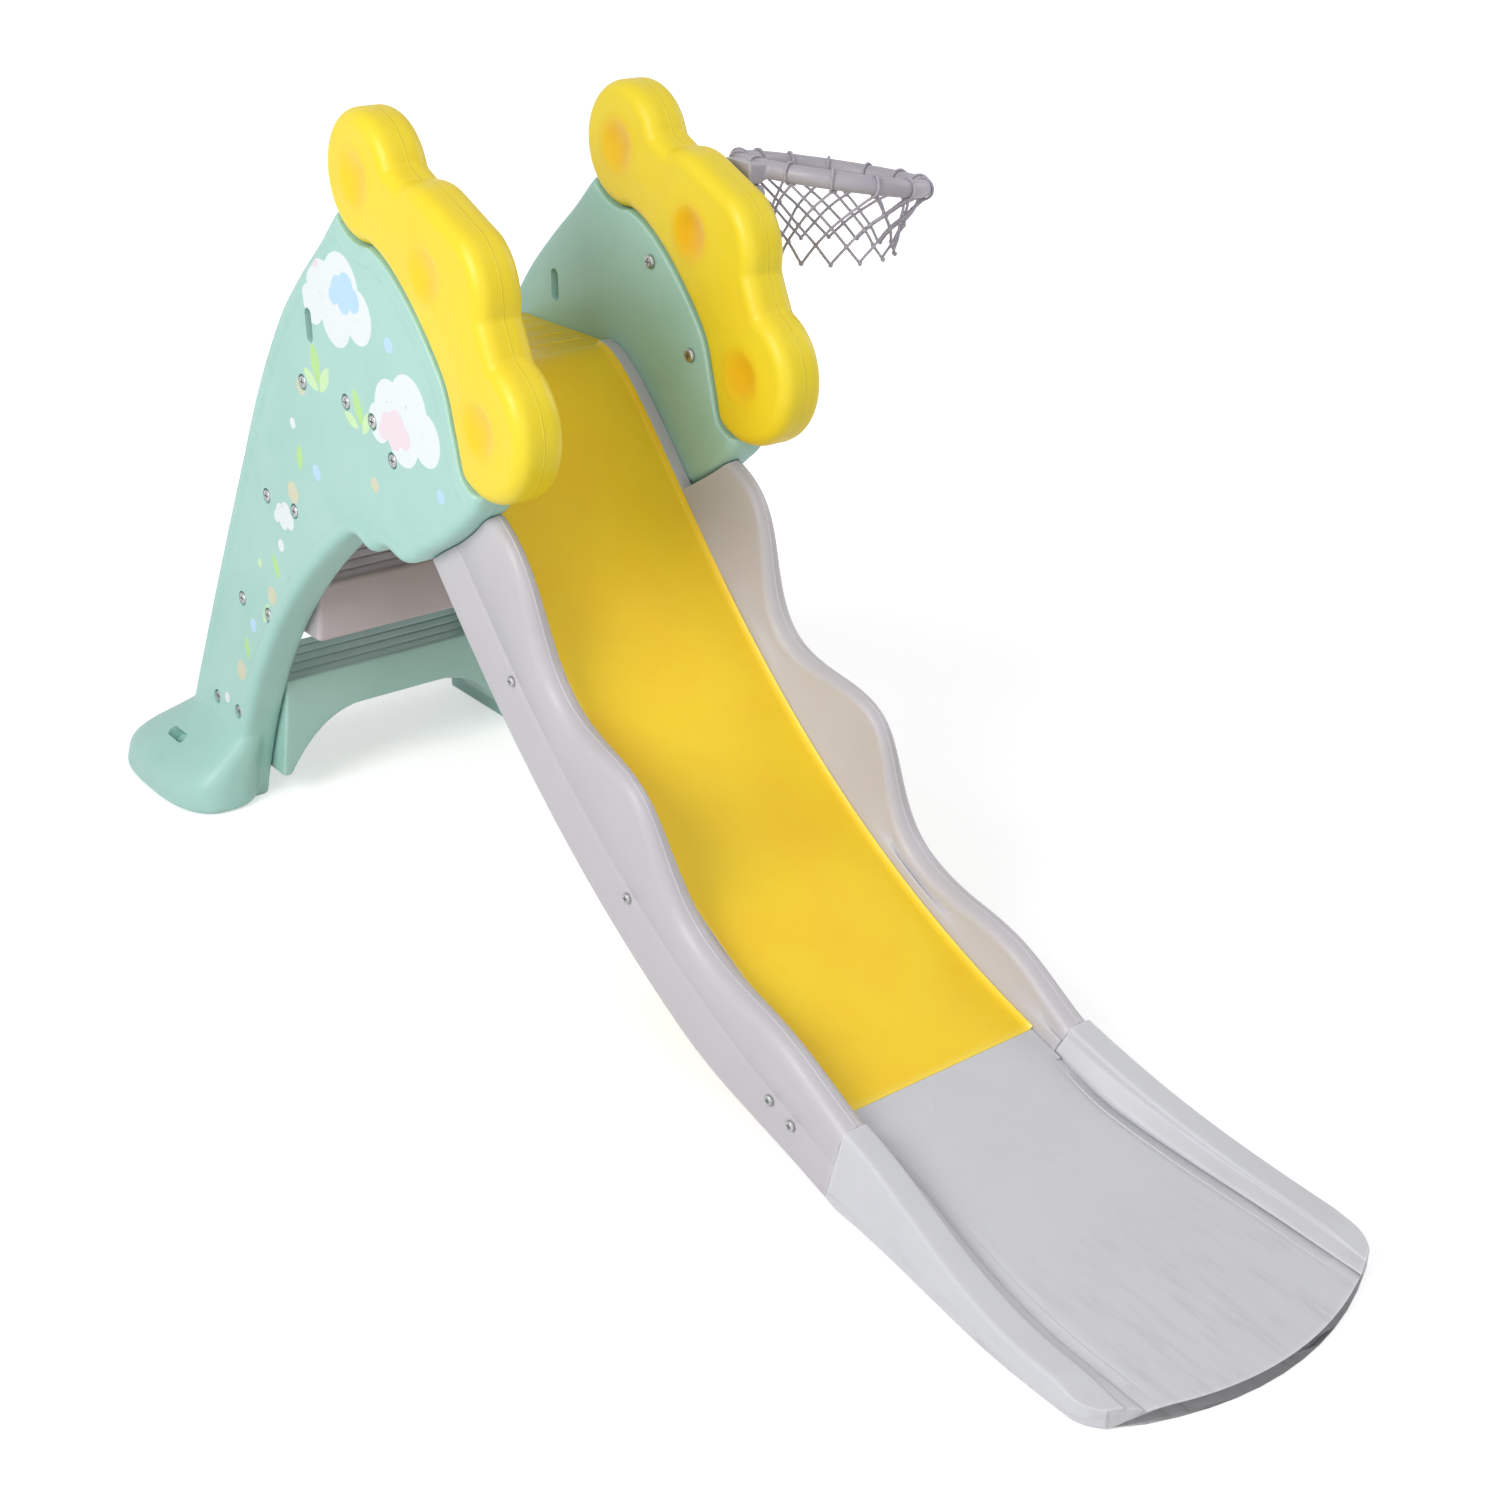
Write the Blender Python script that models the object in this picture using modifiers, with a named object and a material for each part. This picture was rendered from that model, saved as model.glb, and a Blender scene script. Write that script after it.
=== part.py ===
"""Toddler slide with a stepped ladder, lobed hand guards and a plug-in ball hoop.

Units are metres and +Z is up. The chute runs down towards -Y and the ladder stands at +Y.
X = 0 is the middle plane. The origin is on the floor, in the middle of the run-out's flat underside.
Outlines of the upright pieces are (y, z) pairs, and places along the chute are given by the
distance from the lower end of the yellow bed and the height above its surface.
"""
import math

import bmesh
import bpy
from mathutils import Matrix, Vector

MM = 0.001
GAP = 0.3 * MM
HOLE_PLAY = 0.3 * MM

# Places along the length: lower end of the bed, the chute's run up to the deck, the deck
BED_END_Y = 0.200
CHUTE_RUN = 0.775
DECK_DEPTH = 0.190
DECK_FRONT_Y = BED_END_Y + CHUTE_RUN
DECK_REAR_Y = DECK_FRONT_Y + DECK_DEPTH

# Deck, the flat floor at the top of the ladder
DECK_Z = 0.643
DECK_THICKNESS = 0.046
DECK_WALL = 7 * MM
DECK_EDGE = 2.5 * MM

# Clear width between the two side panels, and the panels themselves
INNER_HALF = 0.1395
PANEL_THICKNESS = 0.054
PANEL_EDGE = 12 * MM
FLARE_OUT = 0.050
FLARE_TOP_Z = 0.500
FLARE_POWER = 1.5
FLARE_BANDS = 8
LEG_TOP_RISE = 0.057
LEG_TOP_INSET = 5 * MM
LEG_BELLY = 0.028
LEG_BELLY_HEIGHT = 0.73
ARCH_TOP = (0.078, -0.200)
ARCH_GUIDE_HEIGHT = 0.40
PANEL_NOSE = (-0.240, -0.070)
PANEL_SHOULDER = ((0.026, 0.193), (0.075, 0.150), (0.128, 0.108))
PANEL_SCALLOPS = ((0.045, -0.187), (0.010, -0.196), (-0.025, -0.181), (-0.070, -0.187),
                  (-0.115, -0.163), (-0.165, -0.135), (-0.210, -0.103))
PANEL_ROOM_PLAY = 1.5 * MM

# Feet of the side panels
FOOT_BACK = 0.160
FOOT_FRONT_Y = DECK_REAR_Y + FOOT_BACK
FOOT_LENGTH = 0.199
FOOT_REAR_Y = FOOT_FRONT_Y + FOOT_LENGTH
FOOT_TUCK = 0.018
FOOT_SPREAD = 0.080
FOOT_HEEL = 0.070
FOOT_TOE = 8 * MM
FOOT_INSET = 3 * MM
FOOT_ROUNDNESS = 0.75
FOOT_RIM_Z = 0.030
FOOT_TOP_Z = 0.125
FOOT_SOLE_ROUND = 8 * MM
FOOT_SLOT_LENGTH = 0.046
FOOT_SLOT_WIDTH = 0.015
FOOT_SLOT_DEPTH = 0.016
FOOT_SLOT_BACK = 0.115
FOOT_SLOT_Z = 0.082
FOOT_SLOT_OUT = 0.046
FOOT_SLOT_TURN = math.radians(50)

# Grip slots in the side panels
GRIP_SLOT_LENGTH = 0.040
GRIP_SLOT_WIDTH = 0.016
GRIP_SLOT_REAR = 0.072
GRIP_SLOT_RISE = 0.047

# Hand guards: three lobes (centre from the deck's front edge as dy, dz, then radius)
GUARD_THICKNESS = 0.058
GUARD_EDGE = 18 * MM
LOBE_TOP = (-0.029, 0.232, 0.071)
LOBE_MIDDLE_REAR = (-0.139, 0.169, 0.073)
LOBE_MIDDLE_FRONT = (-0.196, 0.142, 0.076)
LOBE_LOW = (-0.259, 0.013, 0.079)
SEAM = ((-0.199, -0.005), (-0.182, 0.046), (-0.132, 0.105), (-0.082, 0.145))
DIMPLE_RADIUS = 0.024
DIMPLE_DEPTH = 6 * MM

# Tabs that hold a guard in its panel (place from the deck's front edge, then turn)
TAB_THICKNESS = 0.020
TAB_LENGTH = 0.042
TAB_WIDTH = 0.054
TAB_ROOT = 0.030
TAB_UPPER = (-0.106, 0.130, math.radians(-48))
TAB_LOWER = (-0.188, 0.027, math.radians(-20))

# Chute: bed curve from the run-out up to the deck's front edge
BED_END_Z = 0.080
BED_END_SLOPE = math.radians(16.4)
BED_TOP_REACH = CHUTE_RUN * 0.137
BED_END_REACH = CHUTE_RUN * 0.671
BED_HALF = 0.1235
BED_PLATE = 12 * MM
BED_FLANGE_DROP = 0.045
BED_FLANGE_WALL = 8 * MM
BED_COVE = 9 * MM
BED_COVE_RISE = 5 * MM
BED_RIB_THICKNESS = 8 * MM
BED_RIB_DROP = 0.034
BED_RIB_SINK = 3 * MM
BED_STATIONS = 26
BED_RIB_STATIONS = (0.180, 0.320, 0.460, 0.600, 0.740)
CURVE_STEPS = 400

# Side rails of the chute, with distances up from the bed's lower end
RAIL_THICKNESS = 0.042
RAIL_EDGE = 7 * MM
RAIL_LEAN_INNER = 0.27
RAIL_LEAN_OUTER = 0.05
RAIL_TAIL = 0.035
RAIL_STATIONS = 28
RAIL_DROP = 0.085
RAIL_END_DROP = 0.068
RAIL_DROP_GROWTH = 0.200
WAVE_LENGTH = 0.310
WAVE_CREST = 0.390
WAVE_QUIET = 0.150
WAVE_LOW_MEAN = 0.036
WAVE_LOW_SWING = 0.011
WAVE_HIGH_MEAN = 0.063
WAVE_HIGH_SWING = 0.026
RAIL_BODY_SHORT = 0.174
EAR_LENGTH = 0.334
EAR_SHORT = 2 * MM
EAR_STATIONS = 10

# Run-out tray at the foot of the chute
RUN_OUT_LENGTH = 0.390
RUN_OUT_END_Y = BED_END_Y - RUN_OUT_LENGTH
RUN_OUT_BULGE = 0.055
RUN_OUT_HALF = 0.190
RUN_OUT_END_Z = 0.017
RUN_OUT_REACH = 0.42
RUN_OUT_RISE = 0.004
RUN_OUT_WIDENING = 1.25
RUN_OUT_LIP_END = 0.013
RUN_OUT_LIP_WIDTH = 0.030
RUN_OUT_LIP_SLOPE = 0.020
RUN_OUT_TIP_START = 0.86
RUN_OUT_TIP_LOSS = 0.55
RUN_OUT_EDGE = 6 * MM
RUN_OUT_STATIONS = 11
NECK_LAP = 10 * MM
TONGUE_LENGTH = 0.095
NECK_DROP = 0.052
TONGUE_DEPTH = 0.050

# Steps: the treads share the height between the base step and the deck
STEP_BASE_Z = 0.170
STEP_RISE = (DECK_Z - STEP_BASE_Z) / 3
STEP_UPPER_Z = DECK_Z - STEP_RISE
STEP_MIDDLE_Z = DECK_Z - 2 * STEP_RISE
STEP_DEPTH = 0.150
STEP_THICKNESS = 0.078
STEP_WALL = 7 * MM
STEP_EDGE = 7 * MM
STEP_REAR_INSET = 0.026
BASE_DEPTH = 0.128
BASE_EDGE = 4 * MM
BASE_CROWN_Z = 0.112
BASE_FOOT_Z = 0.034
BASE_TOE_WIDTH = 0.012
BASE_ARCH_FLANK = 0.122
BASE_ARCH_FLAT = 0.058
TREAD_RIB_HEIGHT = 1.5 * MM
TREAD_RIB_WIDTH = 6 * MM
TREAD_RIB_COUNT = 4
TREAD_RIB_SIDE = 0.018

# Hoop on the outer side of the right guard, and the socket that it drops into
HOOP_BACK = 0.163
HOOP_Y = DECK_FRONT_Y - HOOP_BACK
HOOP_REACH = 0.136
HOOP_TILT = math.radians(10)
HOOP_RADIUS = 0.108
HOOP_TUBE = 10.5 * MM
HOOP_STEPS = 32
HOOP_SIDES = 8
ARM_HALF = 0.026
ARM_HALF_THICKNESS = 6.5 * MM
SOCKET_RISE = 0.202
SOCKET_TOP_Z = DECK_Z + SOCKET_RISE
HOOP_ROOT_RISE = 0.019
HOOP_ROOT_Z = SOCKET_TOP_Z + HOOP_ROOT_RISE
SOCKET_WIDTH = 0.068
SOCKET_DEPTH = 0.024
SOCKET_HEIGHT = 0.058
SOCKET_CORNER = 8 * MM
SOCKET_EDGE = 2 * MM
SOCKET_PLAY = 0.5 * MM
TONGUE_HALF = 0.017
TONGUE_THICK = 7 * MM
TONGUE_REACH = 0.052
NET_DEPTH = 0.076
NET_STRAND = 3.6 * MM
NET_COLUMNS = 14
NET_ROWS = 4
NET_END_RADIUS = 0.076

# Screws
SCREW_RADIUS = 3.0 * MM
SCREW_HEAD = 8.5 * MM
SCREW_HEAD_HEIGHT = 5.0 * MM
SCREW_SIDES = 8
POCKET_RADIUS = 11.0 * MM
POCKET_DEPTH = 7.0 * MM
SCREW_BITE = 0.026
GUARD_SCREW_SHORT = 9 * MM
GUARD_SCREW_SHARE = 0.6
DECK_SCREW_SHARES = (0.22, 0.78)
DECK_SCREW_LEVEL = 0.55
STEP_SCREW_SHARES = (0.25, 0.75)
CHUTE_SCREW_BACK = (0.095, 0.035)
RAIL_SCREW_STATIONS = (0.030, 0.065, 0.330, 0.600)
RAIL_SCREW_HEAD = 6.5 * MM
FLANGE_SCREW_LEVEL = 0.6
FLANGE_SCREW_BITE = 4 * MM
TONGUE_SCREW_BITE = 12 * MM
SMALL_SCREW_RADIUS = 2.0 * MM
SMALL_SCREW_HEAD = 5.0 * MM
SMALL_SCREW_BITE = 0.022

# How far a cutter runs past what it cuts
CUT_PAST = 10 * MM

PANEL_MIDDLE = INNER_HALF + PANEL_THICKNESS / 2
PANEL_OUTER = INNER_HALF + PANEL_THICKNESS
GUARD_OUTER = PANEL_MIDDLE + GUARD_THICKNESS / 2
TONGUE_X = GUARD_OUTER + GAP + SOCKET_DEPTH / 2
RAIL_INNER = BED_HALF + GAP
RAIL_OUTER = RAIL_INNER + RAIL_THICKNESS

YELLOW = ("yellow_plastic", (0.91, 0.72, 0.05), 0.38)
MINT = ("mint_plastic", (0.46, 0.75, 0.68), 0.40)
LILAC = ("lilac_grey_plastic", (0.52, 0.50, 0.60), 0.42)
GREY = ("pale_grey_plastic", (0.56, 0.56, 0.59), 0.42)
NET_WHITE = ("net_cord", (0.62, 0.62, 0.60), 0.80)
SCREW_STEEL = ("screw_steel", (0.45, 0.46, 0.47), 0.35)

for old in list(bpy.data.objects):
    bpy.data.objects.remove(old, do_unlink=True)

parts = bpy.data.collections.new("toddler_slide")
cutters = bpy.data.collections.new("cutters")
bpy.context.scene.collection.children.link(parts)
bpy.context.scene.collection.children.link(cutters)


def finish(look):
    """Material of one plastic, cord or metal, made the first time that it is asked for."""
    name, colour, roughness = look
    known = bpy.data.materials.get(name)
    if known:
        return known
    made = bpy.data.materials.new(name)
    made.use_nodes = True
    shader = made.node_tree.nodes["Principled BSDF"]
    shader.inputs["Base Color"].default_value = (*colour, 1.0)
    shader.inputs["Roughness"].default_value = roughness
    shader.inputs["Metallic"].default_value = 1.0 if look is SCREW_STEEL else 0.0
    made.diffuse_color = (*colour, 1.0)
    return made


def piece(name, mesh, look):
    """One named piece of the slide."""
    mesh.name = name
    mesh.materials.clear()
    mesh.materials.append(finish(look))
    made = bpy.data.objects.new(name, mesh)
    parts.objects.link(made)
    return made


def cutter(name, mesh):
    """A shape that only cuts or joins: hidden, shown as wire."""
    made = bpy.data.objects.new(name, mesh)
    cutters.objects.link(made)
    made.hide_render = True
    made.display_type = "WIRE"
    return made


def combine(target, tool, operation):
    """Join a tool shape to a piece, or cut it away."""
    step = target.modifiers.new(tool.name, "BOOLEAN")
    step.operation = operation
    step.solver = "EXACT"
    step.object = tool


def from_bmesh(name, shape):
    """Mesh of a bmesh, with its faces pointing out."""
    bmesh.ops.recalc_face_normals(shape, faces=shape.faces)
    mesh = bpy.data.meshes.new(name)
    shape.to_mesh(mesh)
    shape.free()
    return mesh


def box_mesh(name, x_span, y_span, z_span, turn=0.0):
    """Box between two corners, turned about X round its own middle."""
    size = [b - a for a, b in (x_span, y_span, z_span)]
    middle = Vector([(a + b) / 2 for a, b in (x_span, y_span, z_span)])
    shape = bmesh.new()
    place = Matrix.Translation(middle) @ Matrix.Rotation(turn, 4, "X") @ Matrix.Diagonal((*size, 1.0))
    bmesh.ops.create_cube(shape, size=1.0, matrix=place)
    return from_bmesh(name, shape)


def grow(outline, distance):
    """Outline moved outwards by a distance (inwards if negative). Points run anticlockwise."""
    moved = []
    count = len(outline)
    for index in range(count):
        before = Vector(outline[index - 1])
        here = Vector(outline[index])
        after = Vector(outline[(index + 1) % count])
        first = (here - before).normalized()
        second = (after - here).normalized()
        bisector = Vector((first.y + second.y, -first.x - second.x))
        normal = bisector.normalized()
        spread = max(0.5, normal.dot(Vector((first.y, -first.x))))
        moved.append(tuple(here + normal * distance / spread))
    return moved


def plate_mesh(name, outline, middle, thickness, edge=0.0, edge_steps=1, across="X"):
    """Plate of a flat outline, with rounded edges, lying across X or across Y."""
    curve = bpy.data.curves.new(name, "CURVE")
    curve.dimensions = "2D"
    curve.fill_mode = "BOTH"
    curve.extrude = thickness / 2 - edge
    curve.bevel_depth = edge
    curve.bevel_resolution = edge_steps
    points = grow(outline, -edge) if edge else outline
    spline = curve.splines.new("POLY")
    spline.points.add(len(points) - 1)
    for point, (u, v) in zip(spline.points, points):
        point.co = (u, v, 0.0, 1.0)
    spline.use_cyclic_u = True
    guide = bpy.data.objects.new(name, curve)
    if across == "X":
        guide.matrix_world = Matrix(((0, 0, 1, middle), (1, 0, 0, 0), (0, 1, 0, 0), (0, 0, 0, 1)))
    else:
        guide.matrix_world = Matrix(((1, 0, 0, 0), (0, 0, -1, middle), (0, 1, 0, 0), (0, 0, 0, 1)))
    cutters.objects.link(guide)
    bpy.context.view_layer.update()
    solid = bpy.data.meshes.new_from_object(guide.evaluated_get(bpy.context.evaluated_depsgraph_get()))
    shape = bmesh.new()
    shape.from_mesh(solid)
    bmesh.ops.remove_doubles(shape, verts=shape.verts, dist=0.00001)
    bmesh.ops.transform(shape, matrix=guide.matrix_world, verts=shape.verts)
    bpy.data.objects.remove(guide, do_unlink=True)
    return from_bmesh(name, shape)


def loft_mesh(name, rings):
    """Solid through closed rings of equal point counts, with flat ends."""
    shape = bmesh.new()
    loops = [[shape.verts.new(point) for point in ring] for ring in rings]
    for lower, upper in zip(loops, loops[1:]):
        for index in range(len(lower)):
            after = (index + 1) % len(lower)
            shape.faces.new((lower[index], lower[after], upper[after], upper[index]))
    shape.faces.new(loops[0])
    shape.faces.new(loops[-1])
    return from_bmesh(name, shape)


def turned(name, profile, place, look=None, sides=SCREW_SIDES):
    """Turned shape: an (r, z) profile, run down its outer side, round the local Z axis."""
    mesh = bpy.data.meshes.new(name)
    shape = bmesh.new()
    line = [shape.verts.new((radius, 0.0, height)) for radius, height in profile]
    for first, second in zip(line, line[1:]):
        shape.edges.new((first, second))
    shape.to_mesh(mesh)
    shape.free()
    made = piece(name, mesh, look) if look else cutter(name, mesh)
    made.matrix_world = place
    turn = made.modifiers.new("turn", "SCREW")
    turn.steps = sides
    turn.render_steps = sides
    turn.use_merge_vertices = True
    turn.merge_threshold = 0.00002
    turn.use_smooth_shade = False
    return made


def arc(centre, radius, start, end, steps):
    """Points of an arc in the (y, z) plane, angles in degrees from +Y towards +Z."""
    points = []
    for step in range(steps + 1):
        angle = math.radians(start + (end - start) * step / steps)
        points.append((centre[0] + radius * math.cos(angle), centre[1] + radius * math.sin(angle)))
    return points


def smooth_through(points, steps):
    """Catmull-Rom curve through points: the first and last only guide its ends."""
    curve = []
    for before, start, end, after in zip(points, points[1:], points[2:], points[3:]):
        for step in range(steps):
            t = step / steps
            curve.append(tuple(
                0.5 * (2 * start[axis] + (end[axis] - before[axis]) * t
                       + (2 * before[axis] - 5 * start[axis] + 4 * end[axis] - after[axis]) * t ** 2
                       + (3 * start[axis] - before[axis] - 3 * end[axis] + after[axis]) * t ** 3)
                for axis in (0, 1)))
    curve.append(tuple(points[-2]))
    return curve


def bezier(ends, steps):
    """Points of a quadratic or cubic Bezier curve."""
    points = []
    order = len(ends) - 1
    for step in range(steps + 1):
        t = step / steps
        weights = [math.comb(order, k) * (1 - t) ** (order - k) * t ** k for k in range(order + 1)]
        points.append(tuple(sum(w * end[axis] for w, end in zip(weights, ends)) for axis in (0, 1)))
    return points


def ease(value):
    """Smooth rise from 0 to 1."""
    value = min(1.0, max(0.0, value))
    return value * value * (3 - 2 * value)


def from_deck(offset):
    """Point at an offset (dy, dz) from the deck's front edge."""
    return (DECK_FRONT_Y + offset[0], DECK_Z + offset[1])


# Chute path

def bed_curve(steps):
    """Points of the bed's surface, from its lower end up to the deck."""
    lower = (BED_END_Y, BED_END_Z)
    lower_guide = (BED_END_Y + BED_END_REACH * math.cos(BED_END_SLOPE),
                   BED_END_Z + BED_END_REACH * math.sin(BED_END_SLOPE))
    upper_guide = (DECK_FRONT_Y - BED_TOP_REACH, DECK_Z)
    return bezier((lower, lower_guide, upper_guide, (DECK_FRONT_Y, DECK_Z)), steps)


def run_out_curve(steps):
    """Points of the run-out's floor, from its outer end up to the bed."""
    reach = (BED_END_Y - RUN_OUT_END_Y) * RUN_OUT_REACH
    outer = (RUN_OUT_END_Y, RUN_OUT_END_Z)
    outer_guide = (RUN_OUT_END_Y + reach, RUN_OUT_END_Z + RUN_OUT_RISE)
    inner_guide = (BED_END_Y - reach * math.cos(BED_END_SLOPE), BED_END_Z - reach * math.sin(BED_END_SLOPE))
    return bezier((outer, outer_guide, inner_guide, (BED_END_Y, BED_END_Z)), steps)


def reach_along(curve):
    """Distance of each point of a curve from its first one."""
    reach = [0.0]
    for start, end in zip(curve, curve[1:]):
        reach.append(reach[-1] + math.dist(start, end))
    return reach


BED_PATH = bed_curve(CURVE_STEPS)
BED_REACH = reach_along(BED_PATH)
BED_LENGTH = BED_REACH[-1]
RUN_PATH = run_out_curve(CURVE_STEPS)
RUN_REACH = reach_along(RUN_PATH)
RUN_LENGTH = RUN_REACH[-1]


def frame_at(distance):
    """Point and direction of the slide surface at a distance up from the bed's lower end.

    Distances below zero lie on the run-out. The direction is the curve's own at each station.
    """
    if distance >= 0.0:
        curve, reach, place = BED_PATH, BED_REACH, distance
    else:
        curve, reach, place = RUN_PATH, RUN_REACH, RUN_LENGTH + distance
    index = 1
    while index < len(curve) - 1 and reach[index] < place:
        index += 1
    start = Vector(curve[index - 1])
    end = Vector(curve[index])
    share = (place - reach[index - 1]) / (reach[index] - reach[index - 1])
    before = Vector(curve[max(0, index - 2)])
    after = Vector(curve[min(len(curve) - 1, index + 1)])
    along = (end - before).normalized().lerp((after - start).normalized(), share).normalized()
    if distance == 0.0:
        along = Vector((math.cos(BED_END_SLOPE), math.sin(BED_END_SLOPE)))
    if distance >= BED_LENGTH:
        along = Vector((1.0, 0.0))
    return start + (end - start) * share, along


def on_path(distance, height=0.0):
    """Point (y, z) at a distance along the slide surface and at a height square to it."""
    spot, along = frame_at(distance)
    spot += Vector((-along.y, along.x)) * height
    return (spot.x, spot.y)


def rail_rise(distance):
    """Height of the wavy rail top over the bed."""
    grown = ease((distance - WAVE_QUIET) / (WAVE_CREST - WAVE_QUIET))
    mean = WAVE_LOW_MEAN + (WAVE_HIGH_MEAN - WAVE_LOW_MEAN) * grown
    swing = WAVE_LOW_SWING + (WAVE_HIGH_SWING - WAVE_LOW_SWING) * grown
    return mean + swing * math.cos(2 * math.pi * (distance - WAVE_CREST) / WAVE_LENGTH)


def rail_drop(distance):
    """Depth of the rail's lower edge under the bed."""
    return RAIL_END_DROP + (RAIL_DROP - RAIL_END_DROP) * ease(distance / RAIL_DROP_GROWTH)


# Leg shape

LEG_REAR = bezier(((DECK_REAR_Y - LEG_TOP_INSET, DECK_Z + LEG_TOP_RISE),
                   ((DECK_REAR_Y + FOOT_REAR_Y) / 2 + LEG_BELLY, DECK_Z * LEG_BELLY_HEIGHT),
                   (FOOT_REAR_Y, -PANEL_EDGE)), 10)
LEG_FRONT = bezier(((FOOT_FRONT_Y + FOOT_TUCK, -PANEL_EDGE), (FOOT_FRONT_Y, DECK_Z * ARCH_GUIDE_HEIGHT),
                    (DECK_FRONT_Y + ARCH_TOP[0], DECK_Z + ARCH_TOP[1])), 8)
FLARE_LEVELS = [FLARE_TOP_Z * band / FLARE_BANDS for band in range(FLARE_BANDS + 1)]


def flare_at(height):
    """Sideways lean of a leg at a height on the smooth curve."""
    if height >= FLARE_TOP_Z:
        return 0.0
    return FLARE_OUT * ((FLARE_TOP_Z - max(0.0, height)) / FLARE_TOP_Z) ** FLARE_POWER


def flare(height):
    """Sideways lean of a leg, straight between the levels at which the leg bends."""
    if height >= FLARE_TOP_Z:
        return 0.0
    band = min(FLARE_BANDS - 1, int(max(0.0, height) / FLARE_TOP_Z * FLARE_BANDS))
    low, high = FLARE_LEVELS[band], FLARE_LEVELS[band + 1]
    share = (height - low) / (high - low)
    return flare_at(low) + (flare_at(high) - flare_at(low)) * share


def y_at(line, height):
    """Y of a leg's edge line at a height."""
    for start, end in zip(line, line[1:]):
        low, high = sorted((start[1], end[1]))
        if low <= height <= high and high > low:
            share = (height - start[1]) / (end[1] - start[1])
            return start[0] + (end[0] - start[0]) * share
    return line[0][0] if abs(height - line[0][1]) < abs(height - line[-1][1]) else line[-1][0]


# Outlines of the upright pieces

def guard_outline():
    """Outline of a hand guard: three lobes in front and the seam with the panel behind."""
    top, rear, front, low = (from_deck(lobe[:2]) for lobe in
                             (LOBE_TOP, LOBE_MIDDLE_REAR, LOBE_MIDDLE_FRONT, LOBE_LOW))
    points = arc(top, LOBE_TOP[2], -100, 164, 16)
    points += arc(rear, LOBE_MIDDLE_REAR[2], 76, 112, 4)
    points += arc(front, LOBE_MIDDLE_FRONT[2], 124, 192, 5)
    points += arc(low, LOBE_LOW[2], 112, 305, 14)
    seam = [from_deck(offset) for offset in SEAM]
    points += smooth_through([points[-2], points[-1], *seam, points[0], points[1]], 2)[1:-1]
    return points


def panel_outline():
    """Outline of a side panel. Its upper front runs inside the guard, which is cut out of it."""
    shoulder = [from_deck(offset) for offset in PANEL_SHOULDER]
    scallops = [from_deck(offset) for offset in (ARCH_TOP, *PANEL_SCALLOPS, PANEL_NOSE)]
    lobes = (LOBE_LOW, LOBE_MIDDLE_FRONT, LOBE_MIDDLE_REAR, LOBE_TOP)
    under_guard = [from_deck(lobe[:2]) for lobe in lobes]
    points = smooth_through([under_guard[-1], *shoulder, LEG_REAR[0], LEG_REAR[1]], 2)[:-1]
    points += LEG_REAR
    points += LEG_FRONT[:-1]
    points += smooth_through([LEG_FRONT[-2], *scallops, under_guard[0]], 2)
    points += under_guard
    return points[::-1]


# Builders of the pieces

def side_panel(side, tag, guard_cut):
    """Blow-moulded side panel with its flared leg, foot, grip slot and guard pockets."""
    mesh = plate_mesh("side_panel_" + tag, panel_outline(), side * PANEL_MIDDLE,
                      PANEL_THICKNESS, PANEL_EDGE)
    shape = bmesh.new()
    shape.from_mesh(mesh)
    for level in FLARE_LEVELS:
        bmesh.ops.bisect_plane(shape, geom=shape.verts[:] + shape.edges[:] + shape.faces[:],
                               plane_co=(0, 0, level), plane_no=(0, 0, 1), dist=0.000001,
                               clear_inner=level == 0.0)
    bmesh.ops.holes_fill(shape, edges=[edge for edge in shape.edges if edge.is_boundary])
    for vert in shape.verts:
        vert.co.x += side * flare(vert.co.z)
    panel = piece("side_panel_" + tag, from_bmesh(mesh.name, shape), MINT)
    combine(panel, cutter("foot_" + tag, foot_mesh(side)), "UNION")
    combine(panel, guard_cut, "DIFFERENCE")
    for spot, name in ((TAB_UPPER, "upper"), (TAB_LOWER, "lower")):
        pocket = cutter("pocket_" + name + "_" + tag, tab_mesh(side, spot, GAP))
        combine(panel, pocket, "DIFFERENCE")
    slot_y = DECK_REAR_Y - GRIP_SLOT_REAR
    slot_z = DECK_Z + GRIP_SLOT_RISE
    half = (GRIP_SLOT_LENGTH - GRIP_SLOT_WIDTH) / 2
    rounded = arc((slot_y, slot_z + half), GRIP_SLOT_WIDTH / 2, 0, 180, 6)
    rounded += arc((slot_y, slot_z - half), GRIP_SLOT_WIDTH / 2, 180, 360, 6)
    slot = plate_mesh("slot", rounded, side * PANEL_MIDDLE, PANEL_THICKNESS * 1.4)
    combine(panel, cutter("grip_slot_" + tag, slot), "DIFFERENCE")
    combine(panel, cutter("foot_slot_" + tag, foot_slot_mesh(side)), "DIFFERENCE")
    return panel


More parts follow.
